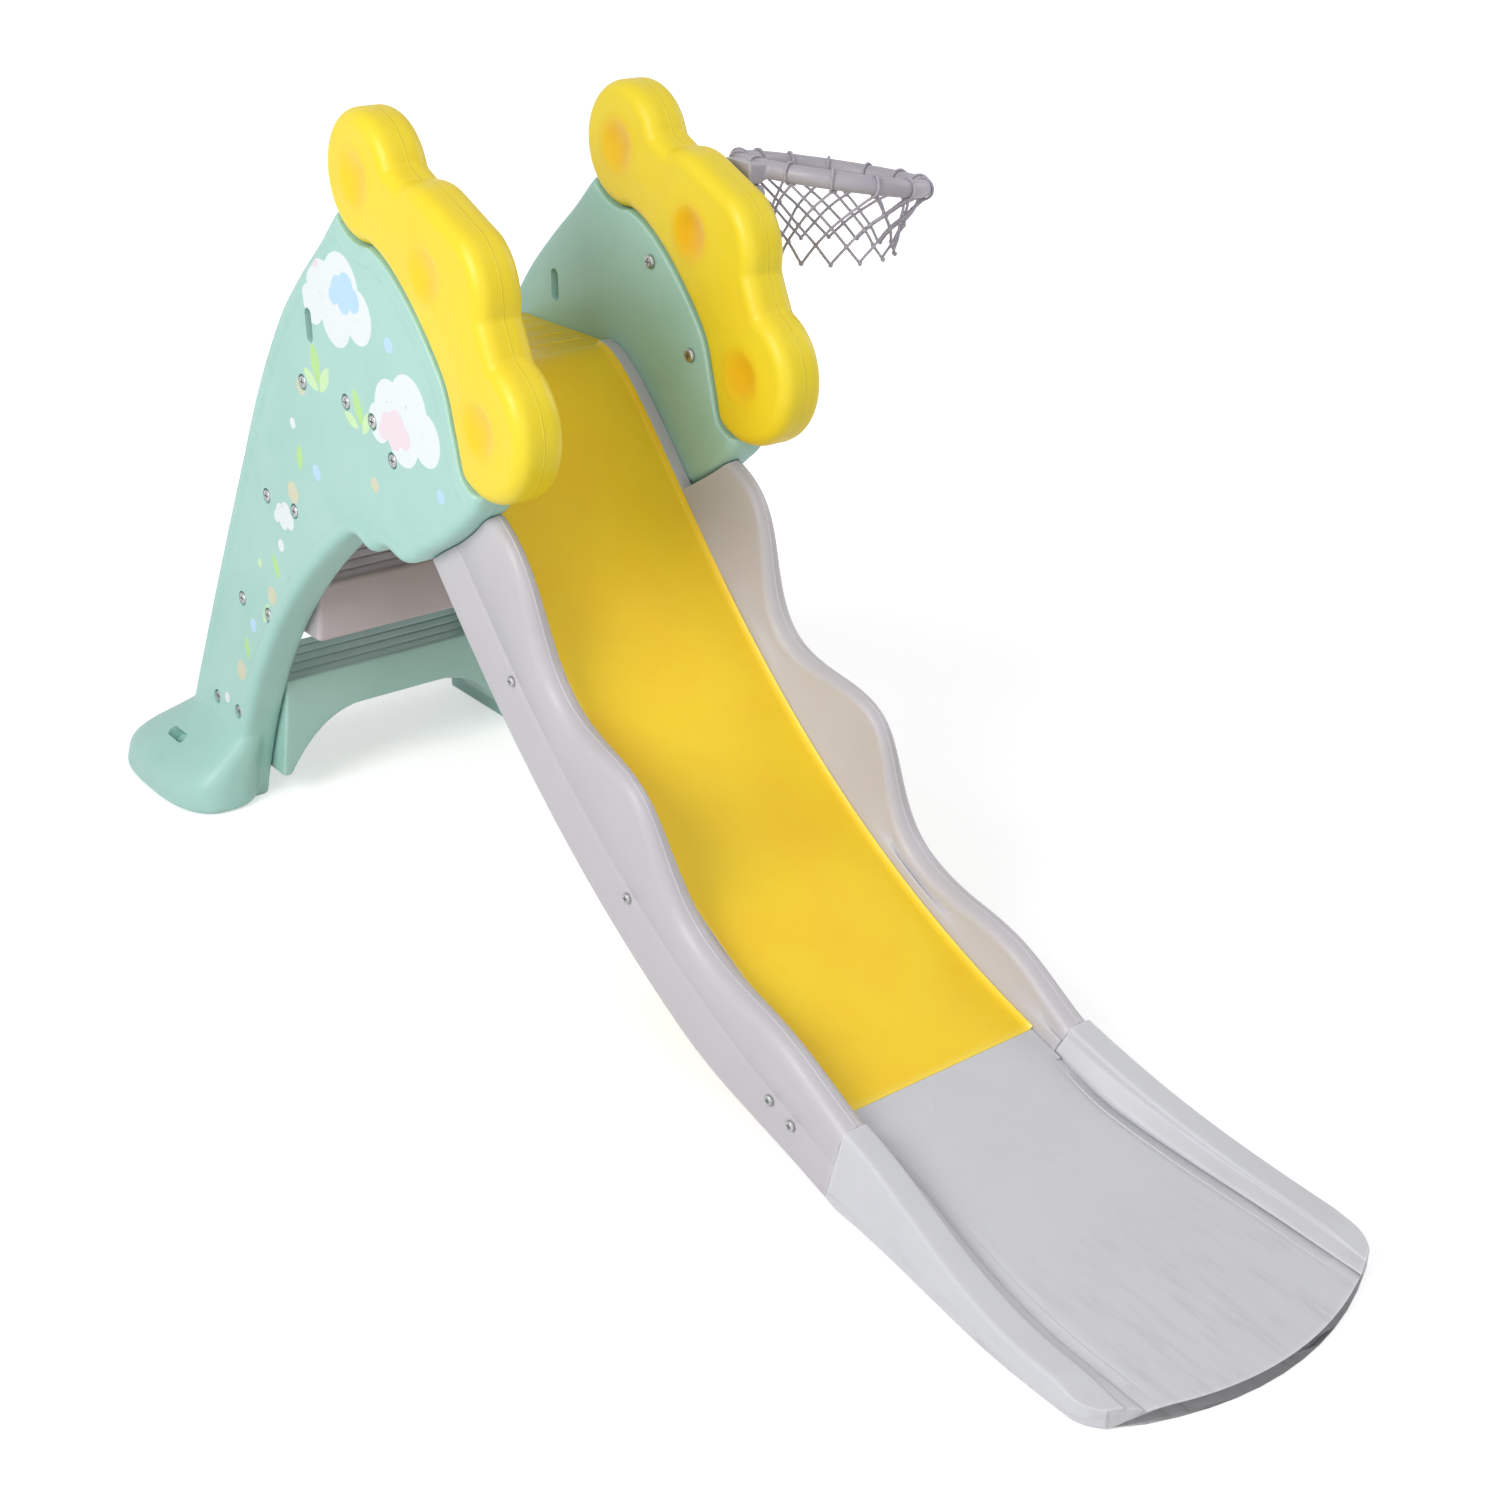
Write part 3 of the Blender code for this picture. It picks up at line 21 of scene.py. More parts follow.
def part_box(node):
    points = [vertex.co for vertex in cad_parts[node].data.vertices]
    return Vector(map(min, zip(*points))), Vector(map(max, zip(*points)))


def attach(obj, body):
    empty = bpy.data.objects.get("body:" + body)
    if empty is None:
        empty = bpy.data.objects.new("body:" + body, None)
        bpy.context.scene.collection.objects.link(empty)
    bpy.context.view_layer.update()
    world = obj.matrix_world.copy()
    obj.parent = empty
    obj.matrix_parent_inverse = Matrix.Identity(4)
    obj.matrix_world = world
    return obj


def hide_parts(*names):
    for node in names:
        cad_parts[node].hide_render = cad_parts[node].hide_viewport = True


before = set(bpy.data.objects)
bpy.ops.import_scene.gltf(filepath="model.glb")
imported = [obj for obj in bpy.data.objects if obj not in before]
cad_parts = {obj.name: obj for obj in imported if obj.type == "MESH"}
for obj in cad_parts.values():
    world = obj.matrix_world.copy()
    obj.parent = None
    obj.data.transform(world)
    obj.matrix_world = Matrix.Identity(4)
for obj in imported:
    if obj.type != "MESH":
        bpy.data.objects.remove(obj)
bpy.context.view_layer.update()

logging.basicConfig(level=logging.INFO, format="%(message)s")
LOG = logging.getLogger("toddler_slide")

Pair = tuple[float, float]
Triple = tuple[float, float, float]
Rule = Callable[[int, float], Triple]
Piece = bpy.types.Object
Node = bpy.types.Node
Socket = bpy.types.NodeSocket

MM = 0.001
GAP = 0.3 * MM
PHOTO_FOCAL_PX = 2117.8829
PHOTO_PX = 1512
SENSOR_MM = 36.0
SIDE_SHARE = 0.48  # most of a side that one rounded corner takes
SHARPEST_CORNER = 0.5  # keeps a moved outline from shooting out at a sharp corner
ROWS_AT_ONCE = 8000  # places measured together, which bounds the memory
CUT_FORM = 35.0  # degrees: edges sharper than this stay crisp
SOFT_FORM = 60.0
ROUND_FORM = 70.0


class Body(Enum):
    """CAD bodies that pieces ride on."""

    SLIDE = "slide"
    HOOP = "hoop"


class Side(Enum):
    """Sides of the slide, by the sign of X."""

    LEFT = -1
    RIGHT = 1

    @property
    def tag(self) -> str:
        """Name of the side in the pieces' names."""
        return self.name.lower()


class Slot(Enum):
    """Material slots of the record."""

    YELLOW = "yellow_plastic"
    MINT = "mint_plastic"
    LILAC = "lilac_grey_plastic"
    GREY = "pale_grey_plastic"
    NET = "net_cord"
    STEEL = "screw_steel"


class Combine(Enum):
    """What is done with a tool shape."""

    JOIN = "UNION"
    CUT = "DIFFERENCE"


class Across(Enum):
    """Axis that a flat plate lies across."""

    X = "X"
    Y = "Y"


# Flat curves

def arc(centre: Pair, radius: float, start: float, end: float, steps: int) -> list[Pair]:
    """Points of an arc, with angles in degrees from the first axis towards the second.

    Args:
        centre: Middle of the circle.
        radius: Its radius.
        start: First angle.
        end: Last angle.
        steps: Number of chords.

    Returns:
        The points, both ends included.
    """
    turns = [math.radians(start + (end - start) * step / steps) for step in range(steps + 1)]
    return [(centre[0] + radius * math.cos(turn), centre[1] + radius * math.sin(turn)) for turn in turns]


def smooth_through(points: Sequence[Pair], steps: int) -> list[Pair]:
    """Catmull-Rom curve through points, of which the first and last only guide its ends.

    Args:
        points: Guide, points to pass, guide.
        steps: Chords between two points.

    Returns:
        The curve's points.
    """
    curve = []
    for before, start, end, after in zip(points, points[1:], points[2:], points[3:]):
        for step in range(steps):
            t = step / steps
            curve.append(tuple(
                0.5 * (2 * start[axis] + (end[axis] - before[axis]) * t
                       + (2 * before[axis] - 5 * start[axis] + 4 * end[axis] - after[axis]) * t ** 2
                       + (3 * start[axis] - before[axis] - 3 * end[axis] + after[axis]) * t ** 3)
                for axis in (0, 1)))
    curve.append(tuple(points[-2]))
    return curve


def bezier(ends: Sequence[Pair], steps: int) -> list[Pair]:
    """Points of a quadratic or cubic Bezier curve.

    Args:
        ends: Control points.
        steps: Number of chords.

    Returns:
        The points, both ends included.
    """
    order = len(ends) - 1
    points = []
    for step in range(steps + 1):
        t = step / steps
        weights = [math.comb(order, k) * (1 - t) ** (order - k) * t ** k for k in range(order + 1)]
        points.append(tuple(sum(w * end[axis] for w, end in zip(weights, ends)) for axis in (0, 1)))
    return points


def rounded(corners: Sequence[Triple], steps: int = 4) -> list[Pair]:
    """Closed outline with its corners rounded.

    Args:
        corners: First place, second place and rounding of each corner.
        steps: Chords of each rounding.

    Returns:
        The outline, with steps + 1 points for each corner that has a rounding.
    """
    outline = []
    count = len(corners)
    for index, (u, v, radius) in enumerate(corners):
        here = Vector((u, v))
        if radius == 0.0:
            outline.append((u, v))
            continue
        before = Vector(corners[index - 1][:2]) - here
        after = Vector(corners[(index + 1) % count][:2]) - here
        start = here + before.normalized() * min(radius, before.length * SIDE_SHARE)
        end = here + after.normalized() * min(radius, after.length * SIDE_SHARE)
        outline += bezier((tuple(start), (u, v), tuple(end)), steps)
    return outline


def grow(outline: Sequence[Pair], distance: float) -> list[Pair]:
    """Anticlockwise outline moved outwards by a distance, or inwards if it is negative.

    Args:
        outline: The closed outline.
        distance: How far it moves.

    Returns:
        The moved outline.
    """
    moved = []
    count = len(outline)
    for index in range(count):
        here = Vector(outline[index])
        first = (here - Vector(outline[index - 1])).normalized()
        second = (Vector(outline[(index + 1) % count]) - here).normalized()
        normal = Vector((first.y + second.y, -first.x - second.x)).normalized()
        spread = max(SHARPEST_CORNER, normal.dot(Vector((first.y, -first.x))))
        moved.append(tuple(here + normal * distance / spread))
    return moved


def ease(values: float | np.ndarray) -> float | np.ndarray:
    """Smooth rise from 0 to 1, of one value or many."""
    values = np.clip(values, 0.0, 1.0)
    return values * values * (3 - 2 * values)


def ramp(values: float | np.ndarray, start: float, length: float) -> float | np.ndarray:
    """Smooth rise from 0 at a start to 1 a length further."""
    return ease((values - start) / length)


def squared_off(value: float, power: float) -> float:
    """Sine or cosine raised to a power with its sign kept, which squares off a round outline."""
    return math.copysign(abs(value) ** power, value)


def reach_to(places: np.ndarray, outline: Sequence[Pair]) -> np.ndarray:
    """Distance of places from a closed outline.

    Args:
        places: Rows of two numbers.
        outline: The closed outline.

    Returns:
        One distance for each row.
    """
    line = np.array(outline)
    step = np.roll(line, -1, axis=0) - line
    length = (step ** 2).sum(1) + 1e-18
    nearest = np.empty(len(places))
    for start in range(0, len(places), ROWS_AT_ONCE):
        rows = places[start:start + ROWS_AT_ONCE, None, :] - line[None]
        share = np.clip((rows * step).sum(2) / length, 0.0, 1.0)
        gap = rows - share[..., None] * step
        nearest[start:start + ROWS_AT_ONCE] = np.sqrt((gap ** 2).sum(2).min(1))
    return nearest


# Modelling moves

class Bench:
    """Modelling moves on the pieces, as made by hand in object and edit mode."""

    @staticmethod
    def clear() -> None:
        """Nothing is selected, and object mode is on."""
        if bpy.context.object and bpy.context.object.mode != "OBJECT":
            bpy.ops.object.mode_set(mode="OBJECT")
        bpy.ops.object.select_all(action="DESELECT")

    @staticmethod
    def take(piece: Piece) -> None:
        """Select a piece alone and make it active.

        Args:
            piece: The piece.
        """
        Bench.clear()
        piece.select_set(True)
        bpy.context.view_layer.objects.active = piece

    @staticmethod
    def edit(piece: Piece) -> None:
        """Take a piece into edit mode with all of it selected.

        Args:
            piece: The piece.
        """
        Bench.take(piece)
        bpy.ops.object.mode_set(mode="EDIT")
        bpy.ops.mesh.select_all(action="SELECT")

    @staticmethod
    def named(name: str) -> Piece:
        """Name the object just added, and its mesh.

        Args:
            name: The name.

        Returns:
            The object.
        """
        made = bpy.context.object
        made.name = made.data.name = name
        return made

    @staticmethod
    def settle() -> None:
        """Take the active object's place, turn and size into its mesh."""
        bpy.ops.object.transform_apply(location=True, rotation=True, scale=True)

    @staticmethod
    def read(piece: Piece, field: str = "co") -> np.ndarray:
        """Read the places, or another field, of a piece's vertices.

        Args:
            piece: The piece.
            field: Its name in the mesh.

        Returns:
            One row for each vertex.
        """
        flat = np.empty(len(piece.data.vertices) * 3)
        piece.data.vertices.foreach_get(field, flat)
        return flat.reshape(-1, 3)

    @staticmethod
    def move(piece: Piece, places: np.ndarray) -> None:
        """Put a piece's vertices at new places."""
        piece.data.vertices.foreach_set("co", places.ravel())
        piece.data.update()

    @staticmethod
    def finish_modifier(piece: Piece, name: str) -> None:
        """Apply one modifier of a piece."""
        Bench.take(piece)
        bpy.ops.object.modifier_apply(modifier=name)

    @staticmethod
    def block(name: str, low: Triple, high: Triple, edge: float = 0.0, segments: int = 3) -> Piece:
        """Box between two corners, with its edges rounded.

        Args:
            name: Name of the piece.
            low: Lowest corner.
            high: Highest corner.
            edge: Rounding of the edges.
            segments: Faces across a rounding.

        Returns:
            The box.
        """
        Bench.clear()
        bpy.ops.mesh.primitive_cube_add(size=1.0, location=(Vector(low) + Vector(high)) / 2)
        made = Bench.named(name)
        made.scale = Vector(high) - Vector(low)
        bpy.ops.object.transform_apply(location=True, rotation=True, scale=True)
        if edge:
            Bench.round_edges(made, edge, segments, 30.0)
        return made

    @staticmethod
    def round_edges(piece: Piece, width: float, segments: int, angle: float) -> None:
        """Round the sharp edges of a piece.

        Args:
            piece: The piece.
            width: Width of the rounding.
            segments: Faces across it.
            angle: Edges sharper than this are rounded, in degrees.
        """
        step = piece.modifiers.new("edges", "BEVEL")
        step.width = width
        step.segments = segments
        step.limit_method = "ANGLE"
        step.angle_limit = math.radians(angle)
        step.use_clamp_overlap = True
        Bench.finish_modifier(piece, step.name)

    @staticmethod
    def combine(piece: Piece, tool: Piece, way: Combine) -> None:
        """Join a tool shape to a piece, or cut it away, and put the tool away.

        Args:
            piece: The piece.
            tool: The shape.
            way: What is done with it.
        """
        step = piece.modifiers.new("combine", "BOOLEAN")
        step.operation = way.value
        step.solver = "EXACT"
        step.object = tool
        Bench.finish_modifier(piece, step.name)
        bpy.data.objects.remove(tool, do_unlink=True)

    @staticmethod
    def remesh(piece: Piece, voxel: float, softening: int) -> None:
        """Even out a piece's mesh and soften its edges, as a mould does.

        Args:
            piece: The piece.
            voxel: Size of the new faces.
            softening: Rounds of smoothing.
        """
        even = piece.modifiers.new("even", "REMESH")
        even.mode = "VOXEL"
        even.voxel_size = voxel
        Bench.finish_modifier(piece, even.name)
        soft = piece.modifiers.new("soft", "SMOOTH")
        soft.factor = 0.5
        soft.iterations = softening
        Bench.finish_modifier(piece, soft.name)

    @staticmethod
    def tidy(piece: Piece) -> None:
        """Merge doubled vertices and point the faces outwards.

        Args:
            piece: The piece.
        """
        Bench.edit(piece)
        bpy.ops.mesh.remove_doubles(threshold=0.00001)
        bpy.ops.mesh.normals_make_consistent(inside=False)
        bpy.ops.object.mode_set(mode="OBJECT")

    @staticmethod
    def slice_below(piece: Piece, level: float) -> None:
        """Cut off what lies under a level, and close the cut.

        Args:
            piece: The piece.
            level: The level.
        """
        Bench.edit(piece)
        bpy.ops.mesh.bisect(plane_co=(0, 0, level), plane_no=(0, 0, 1), use_fill=True, clear_inner=True)
        bpy.ops.object.mode_set(mode="OBJECT")

    @staticmethod
    def from_lines(name: str, lines: Sequence[Sequence[Triple]], closed: bool, **settings: object) -> Piece:
        """Mesh made from a curve with straight chords.

        Args:
            name: Name of the piece.
            lines: Points of each of the curve's lines.
            closed: Whether each line ends where it starts.
            settings: The curve's own settings.

        Returns:
            The mesh.
        """
        curve = bpy.data.curves.new(name, "CURVE")
        for setting, value in settings.items():
            setattr(curve, setting, value)
        for line in lines:
            spline = curve.splines.new("POLY")
            spline.points.add(len(line) - 1)
            for point, place in zip(spline.points, line):
                point.co = (*place, 1.0)
            spline.use_cyclic_u = closed
        made = bpy.data.objects.new(name, curve)
        bpy.context.collection.objects.link(made)
        Bench.take(made)
        bpy.ops.object.convert(target="MESH")
        return Bench.named(name)

    @staticmethod
    def plate(name: str, outline: Sequence[Pair], middle: float, thickness: float,
              across: Across = Across.X) -> Piece:
        """Plate of a flat outline.

        Args:
            name: Name of the piece.
            outline: Anticlockwise outline.
            middle: Place of its middle plane.
            thickness: Its thickness.
            across: Axis that it lies across.

        Returns:
            The plate.
        """
        made = Bench.from_lines(name, [[(u, v, 0.0) for u, v in outline]], True, dimensions="2D",
                                fill_mode="BOTH", extrude=thickness / 2)
        if across is Across.X:
            place = Matrix(((0, 0, 1, middle), (1, 0, 0, 0), (0, 1, 0, 0), (0, 0, 0, 1)))
        else:
            place = Matrix(((1, 0, 0, 0), (0, 0, -1, middle), (0, 1, 0, 0), (0, 0, 0, 1)))
        made.data.transform(place)
        Bench.tidy(made)
        return made

    @staticmethod
    def slab(name: str, outline: Sequence[Pair], middle: float, thickness: float, edge: float,
             voxel: float) -> Piece:
        """Evenly meshed plate across X whose rims are broadly rounded.

        Args:
            name: Name of the piece.
            outline: Anticlockwise outline.
            middle: Place of its middle plane.
            thickness: Its thickness.
            edge: Rounding of its rims.
            voxel: Size of its faces.

        Returns:
            The slab.
        """
        made = Bench.plate(name, outline, middle, thickness)
        Bench.remesh(made, voxel, 2)
        places = Bench.read(made)
        depth = np.minimum(reach_to(places[:, 1:], outline), edge)
        half = thickness / 2 - edge + np.sqrt(edge ** 2 - (edge - depth) ** 2)
        places[:, 0] = middle + (places[:, 0] - middle) * half / (thickness / 2)
        Bench.move(made, places)
        return made

    @staticmethod
    def sweep(name: str, sides: int, cuts: int, rule: Rule) -> Piece:
        """Tube that is cut into stations and fitted to a section at each of them.

        Args:
            name: Name of the piece.
            sides: Points of the section.
            cuts: Cuts between the two ends.
            rule: Place of a point, from its number in the section and its share of the length.

        Returns:
            The closed piece.
        """
        Bench.clear()
        bpy.ops.mesh.primitive_cylinder_add(vertices=sides, radius=1.0, depth=1.0, end_fill_type="NGON")
        made = Bench.named(name)
        mesh = made.data
        bpy.ops.object.mode_set(mode="EDIT")
        bpy.ops.mesh.select_mode(type="EDGE")
        bpy.ops.mesh.select_all(action="DESELECT")
        bpy.ops.object.mode_set(mode="OBJECT")
        for edge in mesh.edges:
            low, high = (mesh.vertices[index].co.z for index in edge.vertices)
            edge.select = abs(low - high) > 0.5
        bpy.ops.object.mode_set(mode="EDIT")
        bpy.ops.mesh.subdivide(number_cuts=cuts)
        bpy.ops.object.mode_set(mode="OBJECT")
        turn = 2 * math.pi / sides
        for vert in mesh.vertices:
            angle = (math.atan2(vert.co.y, vert.co.x) - math.pi / 2) % (2 * math.pi)
            vert.co = rule(round(angle / turn) % sides, vert.co.z + 0.5)
        Bench.tidy(made)
        return made

    @staticmethod
    def copy(piece: Piece, name: str) -> Piece:
        """Copy of a piece with its own mesh.

        Args:
            piece: The piece.
            name: Name of the copy.

        Returns:
            The copy.
        """
        Bench.take(piece)
        bpy.ops.object.duplicate(linked=False)
        return Bench.named(name)

    @staticmethod
    def gather(pieces: Sequence[Piece], name: str) -> Piece:
        """Join separate shells into one piece.

        Args:
            pieces: The shells.
            name: Name of the whole.

        Returns:
            The whole.
        """
        Bench.clear()
        for piece in pieces:
            piece.select_set(True)
        bpy.context.view_layer.objects.active = pieces[0]
        bpy.ops.object.join()
        return Bench.named(name)

    @staticmethod
    def mark_edges(piece: Piece, soft: float = 30.0, sharp: float = 160.0) -> None:
        """Store how sharply the surface turns outwards, as the attribute that wear follows.

        Args:
            piece: The piece.
            soft: Curvature at which wear starts, in 1/m.
            sharp: Curvature at which it is full.
        """
        mesh = piece.data
        places, facing = Bench.read(piece), Bench.read(piece, "normal")
        ends = np.empty(len(mesh.edges) * 2, np.int64)
        mesh.edges.foreach_get("vertices", ends)
        first, second = ends.reshape(-1, 2).T
        step = places[second] - places[first]
        length = np.maximum((step ** 2).sum(1), 1e-10)
        bend = np.zeros(len(places))
        count = np.zeros(len(places))
        np.add.at(bend, first, -(facing[first] * step).sum(1) / length)
        np.add.at(bend, second, (facing[second] * step).sum(1) / length)
        np.add.at(count, first, 1)
        np.add.at(count, second, 1)
        bend /= np.maximum(count, 1)
        Bench.store(piece, "edge", ramp(bend, soft, sharp - soft))

    @staticmethod
    def store(piece: Piece, name: str, values: np.ndarray) -> None:
        """Store one number for each vertex under a name."""
        kept = piece.data.attributes.new(name, "FLOAT", "POINT")
        kept.data.foreach_set("value", values.astype(np.float32))

    @staticmethod
    def hand_over(piece: Piece, material: bpy.types.Material, body: Body, slot: Slot,
                  nodes: Sequence[str], angle: float = 40.0) -> Piece:
        """Dress a finished piece, set it on its body and let it stand for its CAD nodes.

        Args:
            piece: The finished piece.
            material: What it is made of.
            body: The CAD body that it rides on.
            slot: The record's material slot; not used.
            nodes: CAD nodes that it stands for.
            angle: Edges sharper than this stay crisp, in degrees.

        Returns:
            The piece.
        """
        Bench.take(piece)
        bpy.ops.object.shade_smooth_by_angle(angle=math.radians(angle))
        piece.data.materials.clear()
        piece.data.materials.append(material)
        if "edge" not in piece.data.attributes:
            Bench.mark_edges(piece)
        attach(piece, body.value)
        if nodes:
            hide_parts(*nodes)
        LOG.info("%s: %d faces, on %s", piece.name, len(piece.data.polygons), body.value)
        return piece


# Materials

class Desk:
    """Adds and links the nodes of one shader tree."""

    def __init__(self, tree: bpy.types.NodeTree) -> None:
        """Work on a tree."""
        self.tree = tree

    def node(self, kind: str, *inputs: object, **values: object) -> Node:
        """Add a node.

        Args:
            kind: Blender's name of the node.
            inputs: Its first inputs, in order.
            values: Its settings, and inputs by name with _ for a space.

        Returns:
            The node.
        """
        made = self.tree.nodes.new(kind)
        for name, value in values.items():
            if hasattr(made, name):
                setattr(made, name, value)
            else:
                self.feed(made, name.replace("_", " "), value)
        for number, value in enumerate(inputs):
            self.feed(made, number, value)
        return made

    def feed(self, node: Node, name: str | int, value: object) -> None:
        """Set an input of a node, or link it where the value is a socket.

        Args:
            node: The node.
            name: Name or number of the input.
            value: Number, colour, vector or socket.
        """
        if isinstance(value, Socket):
            self.tree.links.new(value, node.inputs[name])
        else:
            node.inputs[name].default_value = value

    def place(self) -> Socket:
        """Place on the piece, in metres of the frame."""
        return self.node("ShaderNodeTexCoord").outputs["Object"]

    def attribute(self, name: str) -> Socket:
        """Value that the piece stores under a name."""
        return self.node("ShaderNodeAttribute", attribute_name=name).outputs["Fac"]

    def math(self, operation: str, first: object, second: object = 0.0, clamp: bool = False) -> Socket:
        """Result of a sum on one or two values."""
        return self.node("ShaderNodeMath", first, second, operation=operation, use_clamp=clamp).outputs[0]

    def times(self, first: object, second: object) -> Socket:
        """Product of two values."""
        return self.math("MULTIPLY", first, second)

    def vector(self, operation: str, first: object, second: object, result: str = "Vector") -> Socket:
        """Result of a sum on two vectors."""
        return self.node("ShaderNodeVectorMath", first, second, operation=operation).outputs[result]

    def noise(self, place: object, scale: float, detail: float = 2.0, roughness: float = 0.5) -> Socket:
        """Noise value at a place, about 0.5 on average."""
        made = self.node("ShaderNodeTexNoise", place, Scale=scale, Detail=detail, Roughness=roughness)
        return made.outputs["Fac"]

    def band(self, value: object, low: float, high: float, to_low: float = 0.0,
             to_high: float = 1.0) -> Socket:
        """Value led smoothly from one range to another."""
        return self.node("ShaderNodeMapRange", value, low, high, to_low, to_high,
                         interpolation_type="SMOOTHSTEP").outputs["Result"]

    def mix(self, share: object, first: object, second: object) -> Socket:
        """Colour between two colours.

        Args:
            share: How much of the second one.
            first: A colour.
            second: Another colour.

        Returns:
            The colour.
        """
        made = self.node("ShaderNodeMix", share, data_type="RGBA")
        self.feed(made, 6, first)
        self.feed(made, 7, second)
        return made.outputs[2]

    def dress(self, shader: Node, colour: object, rough: object, height: object, strength: float) -> None:
        """Lead a finish into a shader.

        Args:
            shader: The shader.
            colour: Its colour.
            rough: Its roughness.
            height: Its relief in millimetres.
            strength: Strength of the relief.
        """
        bump = self.node("ShaderNodeBump", Strength=strength, Distance=MM, Height=height)
        for name, value in (("Base Color", colour), ("Roughness", rough), ("Normal", bump.outputs["Normal"])):
            self.feed(shader, name, value)


def new_finish(name: str) -> tuple[bpy.types.Material, Desk, Node]:
    """Material with nodes.

    Args:
        name: Its name.

    Returns:
        The material, its desk and its shader.
    """
    made = bpy.data.materials.new(name)
    made.use_nodes = True
    return made, Desk(made.node_tree), made.node_tree.nodes["Principled BSDF"]


GroupParts = tuple[bpy.types.NodeTree, Desk, Node, Node]


def new_group(name: str, inputs: Sequence[tuple[str, str]], outputs: Sequence[tuple[str, str]]) -> GroupParts:
    """Shader group with named sockets.

    Args:
        name: Name of the group.
        inputs: Names and kinds of its inputs.
        outputs: Names and kinds of its outputs.

    Returns:
        The group, its desk, and its input and output nodes.
    """
    tree = bpy.data.node_groups.new(name, "ShaderNodeTree")
    for sockets, way in ((inputs, "INPUT"), (outputs, "OUTPUT")):
        for label, kind in sockets:
            tree.interface.new_socket(name=label, in_out=way, socket_type="NodeSocket" + kind)
    desk = Desk(tree)
    return tree, desk, desk.node("NodeGroupInput"), desk.node("NodeGroupOutput")


